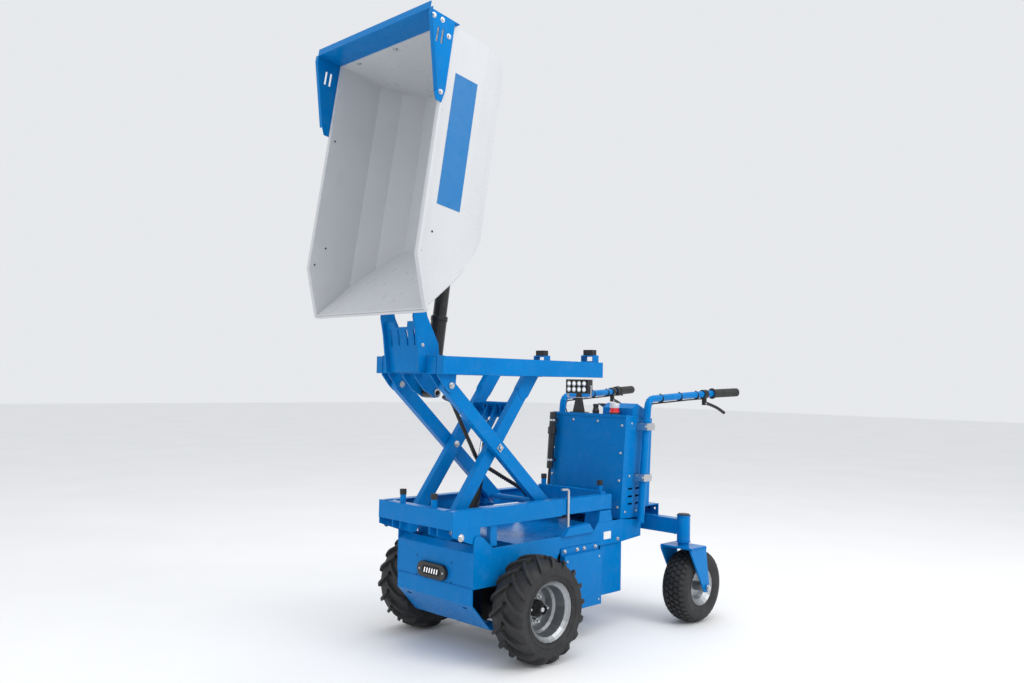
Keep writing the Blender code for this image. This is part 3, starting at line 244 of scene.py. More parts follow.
# painted shade: near-black discs and sheets put where holes, hollow pin centres and lamp interiors lie in
# shade
SHADE_BLACK = polymer("painted_shade_black", (0.003, 0.003, 0.003), 0.8, 0.1, 200.0, 0.02, 0.0)
LED = glow("led_lens", (0.95, 0.96, 1.0), 0.45)
# this lens's emission is a painted reflection on the gauge glass, which is no lamp; on the beacon's cap it is
# the lamp's glow
CLEAR = glow("clear_lens", (0.55, 0.56, 0.58), 0.15)
RED = glow("red_lens_glow", (0.62, 0.008, 0.010), 0.30, 0.12)


# ---------------------------------------------------------------- pieces

class Piece:
    """Mesh being put together in the machine's frame, then ridden on a body."""

    def __init__(self, name, body, mat, slot=None, smooth=True):
        self.name, self.body, self.mat, self.slot_name, self.smooth = name, body, mat, slot, smooth
        self.bm = bmesh.new()

    def add(self, points, faces):
        """Add a patch of faces."""
        made = [self.bm.verts.new(p) for p in points]
        for face in faces:
            self.bm.faces.new([made[i] for i in face])

    def sweep(self, rings, closed_ends=True, loop=False):
        """Skin rings of equal length one after another."""
        count = len(rings[0])
        points = [p for ring in rings for p in ring]
        faces = []
        steps = len(rings) if loop else len(rings) - 1
        for i in range(steps):
            a, b = i * count, ((i + 1) % len(rings)) * count
            for j in range(count):
                k = (j + 1) % count
                faces.append((a + j, a + k, b + k, b + j))
        if closed_ends and not loop:
            faces.append(tuple(reversed(range(count))))
            faces.append(tuple(range(len(points) - count, len(points))))
        self.add(points, faces)

    def turned(self, centre, axis, profile, count=20, phase=0.0, ring=False):
        """Body of revolution; profile is (radius, distance along the axis)."""
        axis = Vector(axis).normalized()
        u, v = side_axes(axis)
        rings = []
        for r, d in profile:
            r = max(r, 0.00002)
            circle = []
            for k in range(count):
                a = 2 * math.pi * k / count + phase
                circle.append(Vector(centre) + axis * d + (u * math.cos(a) + v * math.sin(a)) * r)
            rings.append(circle)
        self.sweep(rings, loop=ring)

    def hexagon(self, centre, axis, across, tall, washer=0.0):
        """Hex head on a washer, with its chamfer."""
        r = across / 2 / math.cos(math.pi / 6)
        base = 0.0
        if washer:
            self.turned(centre, axis, [(washer / 2, 0.0), (washer / 2, 0.0012), (r * 0.8, 0.0014)], 18)
            base = 0.0012
        self.turned(centre, axis, [(r, base), (r, base + tall * 0.8), (r * 0.86, base + tall)], 6)
        self.turned(centre, axis, [(r * 0.45, base + tall * 0.9), (r * 0.42, base + tall * 1.06)], 12)

    def dome(self, centre, axis, radius):
        """Button-head screw with a socket."""
        rings = [(radius, 0.0), (radius * 0.98, radius * 0.16), (radius * 0.80, radius * 0.42),
                 (radius * 0.46, radius * 0.54), (radius * 0.42, radius * 0.52),
                 (radius * 0.38, radius * 0.24)]
        self.turned(centre, axis, rings, 16)

    def block(self, low, high, turn=None, about=(0, 0, 0)):
        """Box, turned about the machine's cross axis if asked."""
        points = [Vector((x, y, z)) for x in (low[0], high[0]) for y in (low[1], high[1]) for z in (low[2],
                high[2])]
        if turn:
            rot = Matrix.Rotation(turn, 3, "Y")
            points = [rot @ (p - Vector(about)) + Vector(about) for p in points]
        self.add(points, [(0, 1, 3, 2), (4, 6, 7, 5), (0, 4, 5, 1), (2, 3, 7, 6), (0, 2, 6, 4), (1, 5, 7, 3)])

    def slab(self, outline, axis_vector):
        """Flat outline pushed along a vector."""
        push = Vector(axis_vector)
        first = [Vector(p) for p in outline]
        self.sweep([first, [p + push for p in first]])

    def pipe(self, path, radius, count=8, wave=0.0, pitch=0.004):
        """Round bar along points; wave gives the ripples of a weld bead."""
        points = [Vector(p) for p in path]
        rings = []
        u = None
        run = 0.0
        for i, p in enumerate(points):
            ahead = (points[min(i + 1, len(points) - 1)] - points[max(i - 1, 0)]).normalized()
            if u is None:
                u, v = side_axes(ahead)
            else:
                u = (u - ahead * u.dot(ahead)).normalized()
                v = ahead.cross(u)
                run += (p - points[i - 1]).length
            r = radius * (1.0 + wave * math.sin(2 * math.pi * run / pitch)) if wave else radius
            rings.append([p
                    + (u * math.cos(2 * math.pi * k / count) + v * math.sin(2 * math.pi * k / count)) * r
                          for k in range(count)])
        self.sweep(rings)

    def bead(self, start, end, radius=0.0028):
        """Weld bead between two points."""
        a, b = Vector(start), Vector(end)
        steps = max(6, int((b - a).length / 0.0013))
        self.pipe([a + (b - a) * (i / steps) for i in range(steps + 1)], radius, 6, 0.16, 0.0046)

    def ring_bead(self, centre, axis, radius, thick=0.0028):
        """Weld bead round a tube."""
        axis = Vector(axis).normalized()
        u, v = side_axes(axis)
        count = max(24, int(2 * math.pi * radius / 0.0016))
        rings = []
        for k in range(count):
            a = 2 * math.pi * k / count
            out = u * math.cos(a) + v * math.sin(a)
            t = thick * (1 + 0.16 * math.sin(2 * math.pi * radius * a / 2 / math.pi / 0.0046))
            rings.append([Vector(centre) + out * (radius + t * math.cos(b)) + axis * t * math.sin(b)
                          for b in (2 * math.pi * j / 6 for j in range(6))])
        self.sweep(rings, loop=True)

    def done(self, replaces=()):
        """Write the mesh, colour it and fasten it to its body."""
        mesh = bpy.data.meshes.new(self.name)
        bmesh.ops.recalc_face_normals(self.bm, faces=self.bm.faces)
        self.bm.to_mesh(mesh)
        self.bm.free()
        obj = bpy.data.objects.new(self.name, mesh)
        bpy.context.scene.collection.objects.link(obj)
        mesh.materials.append(self.mat)
        if self.smooth:
            mesh.polygons.foreach_set("use_smooth", [True] * len(mesh.polygons))
            mesh.set_sharp_from_angle(angle=math.radians(38))
        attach(obj, self.body)
        if replaces:
            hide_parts(*replaces)
        return obj


def side_axes(axis):
    """Two directions square to an axis."""
    ref = Vector((0, 0, 1)) if abs(axis.z) < 0.9 else Vector((1, 0, 0))
    u = (ref - axis * ref.dot(axis)).normalized()
    return u, axis.cross(u)


def at(x, y, z):
    """Place given with X from the front axle."""
    return Vector((AX + x, y, z))


def on_rim(u, y, w):
    """Place on the tipped bucket: u back along its rim, w down from it."""
    s, c = math.sin(TIP), math.cos(TIP)
    return RIM_CORNER + Vector((-u * c - w * s, y, u * s - w * c))


RIM_BACK = Vector((-math.cos(TIP), 0, math.sin(TIP)))


# ---------------------------------------------------------------- CAD colours

LOOKS = {
    "front_rim": SILVER, "caster_rim": SILVER, "grip": GRIP, "brake_lever": ENAMEL, "clamp": ZINC,
    "stop_": RUBBER, "pad": RUBBER, "control_cable": SLEEVE, "hydraulic_hose": SLEEVE,
    "lift_barrel": ENAMEL, "tilt_barrel": ENAMEL, "lift_rod": CHROME, "tilt_rod": CHROME,
    "tilt_stage": ENAMEL,
    "front_lamp": BLACK, "transaxle": ENAMEL, "battery_block": CASE, "work_light": BLACK, "beacon": RED,
    "knob": BLACK, "accumulator": BLACK, "lock_pin": ZINC,
}


def cad_looks():
    """Give every CAD node its surface."""
    for name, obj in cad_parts.items():
        mat = WHITE if name == "bucket" else BLUE
        for key, value in LOOKS.items():
            if key in name and name != "skid_pan":
                mat = value
        for s in obj.material_slots:
            s.material = mat


# ---------------------------------------------------------------- tyres

def crown(y, half, r, shoulder):
    """Radius of a tyre's crown at a distance from its middle."""
    t = min(1.0, abs(y) / half)
    return r - shoulder * t ** 3.2


def arc_block(piece, centre, corners, low, high, r, half, shoulder, cut=0.0012):
    """Tread block over four (angle, y) corners between two depths under the crown."""
    rings = []
    for depth, inset in ((low, 1.0), (high - cut, 0.96), (high, 0.86)):
        ring = []
        mid_a = sum(a for a, _ in corners) / len(corners)
        mid_y = sum(y for _, y in corners) / len(corners)
        for a, y in corners:
            a = mid_a + (a - mid_a) * inset
            y = mid_y + (y - mid_y) * inset
            radius = crown(y, half, r, shoulder) + depth
            ring.append(centre + Vector((math.sin(a) * radius, y, math.cos(a) * radius)))
        rings.append(ring)
    piece.sweep(rings)


def drive_tyre(word):
    """Tractor-pattern tyre: carcass with paired slanting lug bars."""
    name = "front_tyre_" + word
    low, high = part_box(name)
    centre = (low + high) / 2
    r, half = (high.z - low.z) / 2, (high.y - low.y) / 2
    body = "drive_wheel_" + word
    base = r - 0.017
    piece = Piece("lugged_" + name, body, RUBBER, "tyre_rubber")
    outer = [(0.1085, half * 0.72), (0.118, half * 0.90), (0.1205, half * 0.905), (0.123, half * 0.885),
             (0.128, half * 0.935), (0.150, half * 0.985), (0.163, half * 0.975), (0.1645, half * 0.985),
             (0.1675, half * 0.985), (0.169, half * 0.965), (base - 0.012, half * 0.90),
             (base - 0.004, half * 0.76),
             (base, half * 0.50), (base + 0.0015, 0.0)]
    profile = outer + [(rr, -w) for rr, w in reversed(outer[:-1])]
    piece.turned(centre, (0, 1, 0), profile, 72, ring=True)
    lugs = 17
    for k in range(lugs):
        for hand in (1, -1):
            start = 2 * math.pi * (k + (0.5 if hand < 0 else 0.0)) / lugs
            rings = []
            for i in range(9):
                t = i / 8
                y = hand * (-0.004 + t * (half * 0.965 + 0.004))
                a = start + 0.02 + 0.34 * t ** 0.85
                wide = 0.0095 + 0.0035 * t
                top = crown(y, half, r - 0.0002, 0.014)
                sink = crown(y, half, base, 0.030) - 0.004
                if t > 0.85:
                    top -= 0.006 * (t - 0.85) / 0.15
                ring = []
                for da, radius in ((-wide, sink), (-wide * 0.66, top - 0.0012), (-wide * 0.5, top),
                                   (wide * 0.5, top), (wide * 0.66, top - 0.0012), (wide, sink)):
                    ang = a + da / r
                    ring.append(centre + Vector((math.sin(ang) * radius, y, math.cos(ang) * radius)))
                rings.append(ring)
            end_a = start + 0.02 + 0.34
            tail = []
            for da, radius in ((-0.012, 0.150), (-0.008, 0.168), (-0.006, 0.169), (0.006, 0.169),
                               (0.008, 0.168),
                               (0.012, 0.150)):
                ang = end_a + 0.035 + da / r
                y = hand * (half * 0.955 if radius < 0.16 else half * 0.998)
                tail.append(centre + Vector((math.sin(ang) * radius, y, math.cos(ang) * radius)))
            rings.append(tail)
            piece.sweep(rings)
    for hand in (1, -1):
        for radius, thick in ((0.1345, 0.0012), (0.1385, 0.0009)):
            w = half * 0.955
            piece.turned(centre, (0, 1, 0),
                    [(radius - thick, hand * (w - 0.004)), (radius - thick * 0.5, hand * (w + thick)),
                    (radius + thick * 0.5, hand * (w + thick)),
                    (radius + thick, hand * (w - 0.004))], 72, ring=True)
    piece.done(replaces=(name,))


def caster_tyre(word):
    """Turf tyre: rounded carcass with rows of small blocks."""
    name = "caster_tyre_" + word
    low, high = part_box(name)
    centre = (low + high) / 2
    r, half = (high.z - low.z) / 2, (high.y - low.y) / 2
    base = r - 0.0090
    piece = Piece("treaded_" + name, "caster_wheel_" + word, RUBBER, "tyre_rubber")
    outer = [(0.0785, half * 0.72), (0.088, half * 0.905), (0.090, half * 0.91), (0.093, half * 0.90),
             (0.106, half * 0.985), (0.124, half * 0.992), (0.126, half * 0.999), (0.129, half * 0.999),
             (0.131, half * 0.985), (0.145, half * 0.92), (base - 0.005, half * 0.72),
             (base - 0.0008, half * 0.40),
             (base, 0.0)]
    profile = outer + [(rr, -w) for rr, w in reversed(outer[:-1])]
    piece.turned(centre, (0, 1, 0), profile, 60, ring=True)
    rows = [(0.0, 0.26, 38, 0.0), (0.38, 0.28, 38, 0.5), (-0.38, 0.28, 38, 0.5), (0.74, 0.26, 38, 0.0),
            (-0.74, 0.26, 38, 0.0)]
    for middle, wide, count, shift in rows:
        for k in range(count):
            a = 2 * math.pi * (k + shift) / count
            da = math.pi / count * 0.66
            y0, y1 = (middle - wide / 2) * half, (middle + wide / 2) * half
            skew = da * 0.30 * (1 if middle >= 0 else -1)
            corners = [(a - da - skew, y0), (a + da - skew, y0), (a + da + skew, y1), (a - da + skew, y1)]
            arc_block(piece, centre, corners, -0.012, -0.0003, r, half * 1.02, 0.024)
    piece.done(replaces=(name,))


# ---------------------------------------------------------------- wheels' fittings

def wheel_fittings():
    """Lug nuts, hub bores, valves and axle bolts."""
    for word, side in SIDES:
        low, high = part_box("front_rim_" + word)
        centre = (low + high) / 2
        centre = Vector((centre.x, side * WHEEL_Y, centre.z))
        out = Vector((0, side, 0))
        nuts = Piece("wheel_nuts_" + word, "drive_wheel_" + word, ZINC, "zinc", False)
        for k in range(4):
            a = math.pi / 2 * k + 0.08
            spot = centre + Vector((math.cos(a) * 0.047, side * -0.0150, math.sin(a) * 0.047))
            nuts.hexagon(spot, out, 0.019, 0.014, 0.026)
            nuts.turned(spot, out, [(0.0055, 0.010), (0.0055, 0.026), (0.0042, 0.0275)], 12)
        nuts.done()
        hub = Piece("wheel_hub_" + word, "drive_wheel_" + word, ENAMEL, "black_metal")
        hub.turned(centre, out,
                [(0.0340, -0.016), (0.0340, 0.002), (0.0310, 0.008), (0.0225, 0.0175), (0.0205, 0.030),
                (0.0160, 0.032), (0.0150, 0.022), (0.0001, 0.0215)], 28)
        hub.done()
        plug = Piece("axle_nut_" + word, "drive_wheel_" + word, ZINC, "zinc", False)
        plug.hexagon(centre + out * 0.0214, out, 0.018, 0.007)
        plug.done()
        valve = Piece("valve_" + word, "drive_wheel_" + word, BLACK, "black_plastic")
        spot = centre + Vector((0.068, side * -0.004, -0.066))
        valve.turned(spot, Vector((0.35, side, -0.35)), [(0.0055, -0.006), (0.0055, 0.012), (0.0040, 0.016),
                (0.0040, 0.030), (0.0030, 0.031)], 12)
        valve.done()
        low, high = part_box("caster_rim_" + word)
        centre = (low + high) / 2
        bolt = Piece("caster_axle_bolt_" + word, "caster_" + word, ZINC, "zinc", False)
        for hand in (1, -1):
            bolt.hexagon(centre + Vector((0, hand * 0.0900, 0)), (0, hand, 0), 0.019, 0.008, 0.027)
        bolt.done()
        valve = Piece("caster_valve_" + word, "caster_wheel_" + word, BLACK, "black_plastic")
        valve.turned(centre + Vector((0.040, side * 0.024, 0.040)), (0.3, side, 0.3),
                     [(0.0045, -0.010), (0.0045, 0.008), (0.0032, 0.010), (0.0032, 0.018)], 12)
        valve.done()


# ---------------------------------------------------------------- chassis

def chassis_bolts():
    """Plated bolts on the lower body, frame and console."""
    p = Piece("chassis_bolts", "chassis", ZINC, "zinc", False)
    for side in (1, -1):
        out = (0, side, 0)
        face = side * (HALF_W + 0.0262)
        for x in (-0.275, -0.355, -0.400, -0.475):
            p.hexagon(at(x, side * (HALF_W + 0.0070), 0.374), out, 0.011, 0.005, 0.018)
        for x in (-0.273, -0.480):
            p.dome(at(x, face, 0.150), out, 0.0050)
            p.dome(at(x, face, 0.335), out, 0.0050)
        p.hexagon(at(-0.640, side * (HALF_W + 0.0005), 0.388), out, 0.011, 0.005, 0.018)
        p.hexagon(at(0.300, side * (0.2280), 0.492), out, 0.018, 0.007, 0.030)
        for x in (-0.700, -0.780):
            p.dome(at(x, side * (CONSOLE_HALF + 0.0006), 0.500), out, 0.0060)
    p.done()


def lamp():
    """Front lamp: six slanted diode strips, window and two screws."""
    low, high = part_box("front_lamp")
    x = high.x
    z = (low.z + high.z) / 2
    # window drawn near-black: painted shade of the lamp's interior
    window = Piece("lamp_window", "chassis", SHADE_BLACK, "black_plastic")
    outline = []
    for i in range(24):
        a = 2 * math.pi * i / 24
        sx = 0.038 if math.cos(a) > 0 else -0.038
        outline.append((x - 0.0004, sx + math.cos(a) * 0.017, z + math.sin(a) * 0.017))
    window.slab(outline, (0.0012, 0, 0))
    window.done()
    strips = Piece("lamp_diodes", "chassis", LED, "black_plastic", False)
    for k in range(6):
        y = -0.0375 + 0.015 * k
        strips.slab([(x + 0.0005, y - 0.0045, z - 0.010), (x + 0.0005, y + 0.0005, z - 0.010),
                     (x + 0.0005, y + 0.0055, z + 0.010), (x + 0.0005, y + 0.0005, z + 0.010)],
                     (0.0015, 0, 0))
    strips.done()
    screws = Piece("lamp_screws", "chassis", ZINC, "zinc")
    for s in (1, -1):
        screws.dome(Vector((x, s * 0.070, z)), (1, 0, 0), 0.0050)
    screws.done()
    # panel holes drawn as near-black discs: painted shade
    holes = Piece("lamp_panel_holes", "chassis", SHADE_BLACK, "black_plastic")
    for y in (-0.105, 0.105):
        for dz in (-0.030, 0.045):
            holes.turned(Vector((AX + 0.2362, y, z + dz)), (1, 0, 0), [(0.0032, -0.0005), (0.0032, 0.0002)],
                         14)
    holes.done()


def frame_welds():
    """Weld beads of the lower body, lift frame and rear beam."""
    p = Piece("chassis_welds", "chassis", WELD, "blue_paint")
    for side in (1, -1):
        p.bead(at(0.343, side * 0.187, 0.5925), at(0.303, side * 0.187, 0.5925))
        p.bead(at(-0.603, side * 0.187, 0.5925), at(-0.569, side * 0.187, 0.5925))
        for x in (-0.262, -0.458):
            p.bead(at(x, side * 0.2340, 0.438), at(x, side * 0.2480, 0.438))
        p.bead(at(-0.262, side * 0.2340, 0.437), at(-0.292, side * 0.2340, 0.4695))
        p.bead(at(-0.458, side * 0.2340, 0.438), at(-0.424, side * 0.2340, 0.4775))
        p.bead(at(-0.292, side * 0.2345, 0.4705), at(-0.424, side * 0.2345, 0.4785))
        for z in (0.3705, 0.4880):
            p.ring_bead(at(-0.909, side * CASTER_Y, z - 0.002), (0, 0, 1), 0.0305, 0.0022)
        p.bead(at(-0.9355, side * 0.372, 0.400), at(-0.9355, side * 0.372, 0.470), 0.0025)
        p.bead(at(-0.8825, side * 0.372, 0.400), at(-0.8825, side * 0.372, 0.470), 0.0025)
    p.bead(at(0.2368, -0.228, 0.2915), at(0.2368, 0.228, 0.2915), 0.0022)
    p.done()
    for word, side in SIDES:
        q = Piece("caster_welds_" + word, "caster_" + word, WELD, "blue_paint")
        for hand in (1, -1):
            q.bead(at(-0.969, side * CASTER_Y + hand * 0.0842, 0.3445),
                   at(-0.849, side * CASTER_Y + hand * 0.0842, 0.3445), 0.0022)
        q.done()
    caps = Piece("steering_caps", "chassis", BLACK, "black_plastic")
    for side in (1, -1):
        caps.turned(at(-0.909, side * CASTER_Y, 0.4882), (0, 0, 1),
                [(0.0285, 0.0), (0.0285, 0.004), (0.024, 0.0065),
                (0.0, 0.007)], 28)
    caps.done()


def labels():
    """Blank rating plate on the body's left side."""
    p = Piece("blank_rating_plate", "chassis", LABEL, "white_paint", False)
    y = HALF_W + 0.0002
    p.slab([at(-0.590, y, 0.428), at(-0.540, y, 0.428), at(-0.540, y, 0.395), at(-0.590, y, 0.395)],
           (0, 0.0004, 0))
    p.done()


# ---------------------------------------------------------------- console

def console_details():
    """Screws, lid edge, gauges and switch of the control console."""
    screws = Piece("console_screws", "chassis", ZINC, "zinc")

    def front(z):
        return AX - 0.690 + 0.025 - 0.075 * (z - 0.470)

    out = Vector((1.0, 0.0, 0.075)).normalized()
    for z in (0.520, 0.640, 0.765, 0.890):
        for y in (-0.205, 0.205):
            screws.dome(Vector((front(z), y, z)), out, 0.0065)
    for y in (-0.090, 0.060):
        screws.dome(Vector((front(0.905), y, 0.905)), out, 0.0065)
        screws.dome(Vector((front(0.505), y, 0.505)), out, 0.0065)
    for side in (1, -1):
        for x, z in ((-0.745, 0.900), (-0.840, 0.885), (-0.730, 0.660), (-0.815, 0.655)):
            screws.dome(at(x, side * CONSOLE_HALF, z), (0, side, 0), 0.0055)
    screws.done()
    edge = Piece("console_lid_edge", "chassis", BLUE, "blue_paint", False)
    z = 0.925
    edge.slab([(front(z) + 0.0003, -0.2245, z), (front(z) + 0.0018, -0.2245, z),
               (front(z + 0.012) + 0.0018, -0.2245, z + 0.012),
               (front(z + 0.012) + 0.0003, -0.2245, z + 0.012)],
              (0, 0.449, 0))
    edge.done()
    panel = Piece("gauge_panel", "chassis", BLACK, "black_plastic")
    a, b = at(-0.792, 0, 0.9885), at(-0.884, 0, 0.9475)
    ahead = (b - a).normalized()
    up = Vector((-ahead.z, 0, ahead.x))
    if up.z < 0:
        up = -up
    lowest = a + ahead * 0.014
    farthest = a + ahead * 0.086
    y0, y1, thick = -0.030, 0.060, 0.0018
    outline = [lowest + Vector((0, y0, 0)) + up * 0.0003, farthest + Vector((0, y0, 0)) + up * 0.0003,
               farthest + Vector((0, y1, 0)) + up * 0.0003, lowest + Vector((0, y1, 0)) + up * 0.0003]
    panel.slab(outline, up * thick)
    panel.done()
    # the gauge glass glows by emission: a painted reflection
    glass = Piece("gauge_glass", "chassis", CLEAR, "black_plastic")
    mid = (lowest + farthest) / 2 + up * 0.0021
    glass.turned(mid + Vector((0, 0.030, 0)), up,
                 [(0.022, 0.0), (0.022, 0.002), (0.020, 0.003), (0.0, 0.0032)], 32)
    glass.done()
    keys = Piece("panel_buttons", "chassis", ENAMEL, "black_metal")
    for k in range(2):
        keys.turned(mid + Vector((0, -0.012, 0)) + ahead * (0.018 - 0.036 * k), up,
                    [(0.008, 0.0), (0.008, 0.004), (0.006, 0.006), (0.0, 0.0062)], 20)
    keys.done()
    label = Piece("blank_console_plate", "chassis", LABEL, "white_paint", False)
    label.slab([at(-0.8925, -0.06, 0.800), at(-0.8925, 0.06, 0.800), at(-0.8905, 0.06, 0.755),
                at(-0.8905, -0.06, 0.755)],
               (-0.0010, 0, 0))
    label.done()


def lights():
    """Work light's diodes, fins, bracket and lead; the beacon's base."""
    x = AX - 0.728 + 0.016
    # window drawn near-black: painted shade of the light's interior
    lens = Piece("work_light_window", "chassis", SHADE_BLACK, "black_plastic")
    lens.block((x, -0.147, 1.036), (x + 0.0012, -0.023, 1.092))
    lens.done()
    diodes = Piece("work_light_diodes", "chassis", LED, "black_plastic")
    bezel = Piece("work_light_reflectors", "chassis", CHROME, "zinc")
    for k in range(4):
        for j in range(2):
            spot = Vector((x + 0.0014, -0.1325 + k * 0.0318, 1.050 + 0.028 * j))
            bezel.turned(spot, (1, 0, 0),
                         [(0.0125, -0.0004), (0.0125, 0.0014), (0.0115, 0.0014), (0.0070, 0.0002)], 20)
            diodes.turned(spot, (1, 0, 0),
                          [(0.0068, 0.0002), (0.0060, 0.0020), (0.0035, 0.0032), (0.0, 0.0035)], 16)
    bezel.done()
    diodes.done()
    fins = Piece("work_light_fins", "chassis", BLACK, "black_plastic", False)
    for k in range(9):
        y = -0.148 + 0.0158 * k
        fins.block((AX - 0.7500, y - 0.0012, 1.034), (AX - 0.7465, y + 0.0012, 1.094))
    fins.done()
    knobs = Piece("work_light_screws", "chassis", ZINC, "zinc", False)
    for side in (1, -1):
        knobs.hexagon(Vector((AX - 0.7325, -0.085 + side * 0.070, 1.064)), (0, side, 0), 0.010, 0.004, 0.014)
    stay = Piece("work_light_yoke", "chassis", ZINC, "zinc", False)
    for side in (1, -1):
        y = -0.085 + side * 0.0722
        stay.block((AX - 0.738, y - 0.001, 1.012), (AX - 0.727, y + 0.001, 1.070))
    stay.block((AX - 0.738, -0.085 - 0.0732, 1.010), (AX - 0.727, -0.085 + 0.0732, 1.0125))
    stay.done()
    knobs.done()
    lead = Piece("work_light_lead", "chassis", SLEEVE, "black_plastic")
    path = [at(-0.746, -0.110, 1.045), at(-0.762, -0.112, 1.040), at(-0.772, -0.114, 1.020),
            at(-0.771, -0.115, 0.985),
            at(-0.764, -0.116, 0.955), at(-0.762, -0.116, 0.925)]
    lead.pipe(smooth_path(path, 4), 0.0030, 8)
    lead.done()
    low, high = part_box("beacon")
    c = (low + high) / 2
    base = Piece("beacon_base", "chassis", BLACK, "black_plastic")
    base.turned(Vector((c.x, c.y, low.z + 0.0003)), (0, 0, 1),
                [(0.0240, 0.0), (0.0242, 0.006), (0.0225, 0.010)], 32)
    base.done()
    cap = Piece("beacon_clear_cap", "chassis", CLEAR, "red_lens")
    cap.turned(Vector((c.x, c.y, low.z + 0.028)), (0, 0, 1), [(0.0225, 0.0), (0.0228, 0.004), (0.0225, 0.018),
            (0.0190, 0.0225), (0.0, 0.0235)], 32)
    cap.done()
    top = Piece("beacon_dome_ribs", "chassis", RED, "red_lens")
    for k in range(16):
        a = 2 * math.pi * k / 16
        r = 0.0196
        spot = Vector((c.x + math.cos(a) * r, c.y + math.sin(a) * r, low.z + 0.013))
        top.pipe([spot, spot + Vector((0, 0, 0.024))], 0.0012, 6)
    top.done()


def smooth_path(points, parts):
    """Catmull-Rom curve through points."""
    pts = [Vector(p) for p in points]
    pts = [pts[0]] + pts + [pts[-1]]
    out = []
    for i in range(1, len(pts) - 2):
        a, b, c, d = pts[i - 1:i + 3]
        for k in range(parts):
            t = k / parts
            out.append(0.5 * (2 * b + (c - a) * t + (2 * a - 5 * b + 4 * c - d) * t * t
                              + (3 * b - a - 3 * c + d) * t ** 3))
    out.append(pts[-2])
    return out


def accumulator_details():
    """Ribs of the thin hose and bands of the black cylinder before the console."""
    ribs = Piece("accumulator_hose_ribs", "chassis", SLEEVE, "black_plastic")
    foot = Vector((AX - 0.690 + 0.051, -0.200, 0.470))
    up = Vector((-0.075, 0, 1.0)).normalized()
    for k in range(38):
        z = 0.478 + k * 0.0048
        spot = foot + up * (z - 0.470)
        ribs.turned(spot, up, [(0.0058, -0.0014), (0.0076, -0.0006), (0.0076, 0.0006), (0.0058, 0.0014)], 12)
    ribs.done()
    bands = Piece("accumulator_bands", "chassis", ZINC, "zinc")
    for z in (0.707, 0.899):
        spot = foot + up * (z - 0.470)
        bands.turned(spot, up, [(0.0163, -0.0045), (0.0170, -0.0045), (0.0170, 0.0045), (0.0163, 0.0045)], 24)
    bands.done()


# ---------------------------------------------------------------- handlebars

def bar_details():
    """Cable ties, grip flanges and rings, lever pivots, clamp bolts."""
    ties = Piece("cable_ties", "chassis", BLACK, "black_plastic")
    for side in (1, -1):
        path = [Vector((-0.816, side * 0.262, 1.012)), Vector((-1.120, side * 0.272, 1.030)),
                Vector((-1.290, side * 0.296, 1.040))]
        for seg, t in ((0, 0.30), (0, 0.78), (1, 0.35)):
            a, b = path[seg], path[seg + 1]
            c = a.lerp(b, t)
            ahead = (b - a).normalized()
            c = Vector((c.x + AX, c.y, c.z - 0.0030))
            ties.turned(c, ahead, [(0.0200, -0.0016), (0.0208, -0.0013), (0.0208, 0.0013), (0.0200, 0.0016)],
                        24)
            ties.block((c.x - 0.002, c.y - 0.003, c.z + 0.0190), (c.x + 0.002, c.y + 0.003, c.z + 0.0240))
    ties.done()
    for word, side in SIDES:
        start, end = at(-1.290, side * 0.296, 1.040), at(-1.462, side * 0.332, 1.048)
        ahead = (end - start).normalized()
        long = (end - start).length
        rings = Piece("grip_rings_" + word, "chassis", GRIP, "rubber")
        rings.turned(start + ahead * 0.006, ahead,
                     [(0.0195, 0.0), (0.0265, 0.0008), (0.0265, 0.0045), (0.0200, 0.0060)], 28)
        count = 22
        for k in range(count):
            s = 0.018 + (long - 0.034) * k / (count - 1)
            rings.turned(start + ahead * s, ahead, [(0.0196, -0.0018), (0.0210, -0.0010), (0.0210, 0.0010),
                    (0.0196, 0.0018)], 20)
        rings.done()
        bolts = Piece("bar_bolts_" + word, "chassis", ZINC, "zinc", False)
        for z in (0.654, 0.886):
            low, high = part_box(("lower_clamp_" if z < 0.8 else "upper_clamp_") + word)
            mid = (low + high) / 2
            y = (high.y - 0.007) if side > 0 else (low.y + 0.007)
            bolts.hexagon(Vector((high.x, y, mid.z)), (1, 0, 0), 0.011, 0.006, 0.016)
            bolts.hexagon(Vector((low.x, y, mid.z)), (-1, 0, 0), 0.011, 0.006, 0.016)
        before = (start - at(-1.120, side * 0.272, 1.030)).normalized()
        root = start - before * 0.050 + Vector((0, 0, -0.046))
        bolts.hexagon(root + Vector((0, 0.008, 0)), (0, 1, 0), 0.009, 0.004)
        bolts.hexagon(root + Vector((0, -0.008, 0)), (0, -1, 0), 0.009, 0.004)
        bolts.done()
        blade = Piece("lever_blade_" + word, "chassis", ENAMEL, "black_metal")
        path = smooth_path([root + Vector((0, 0, 0.006)), start + ahead * 0.010 + Vector((0, 0, -0.060)),
                            start + ahead * 0.050 + Vector((0, 0, -0.076)),
                            start + ahead * 0.093 + Vector((0, 0, -0.100))], 6)
        blade.pipe(path, 0.0080, 10)
        blade.pipe([root + Vector((0, 0, 0.034)), root + Vector((0, 0, -0.008))], 0.0120, 12)
        blade.done()
    throttle = Piece("thumb_throttle", "chassis", BLACK, "black_plastic")
    start = at(-1.290, -0.296, 1.040)
    ahead = (at(-1.462, -0.332, 1.048) - start).normalized()
    throttle.turned(start - ahead * 0.026, ahead,
                    [(0.0170, 0.0), (0.0250, 0.001), (0.0250, 0.021), (0.0170, 0.022)], 28)
    thumb = start - ahead * 0.014
    throttle.pipe([thumb + Vector((0, 0.018, -0.010)), thumb + Vector((-0.004, 0.030, -0.018)),
                   thumb + Vector((-0.014, 0.036, -0.020))], 0.0045, 8)
    throttle.done()


# ---------------------------------------------------------------- scissor and platform

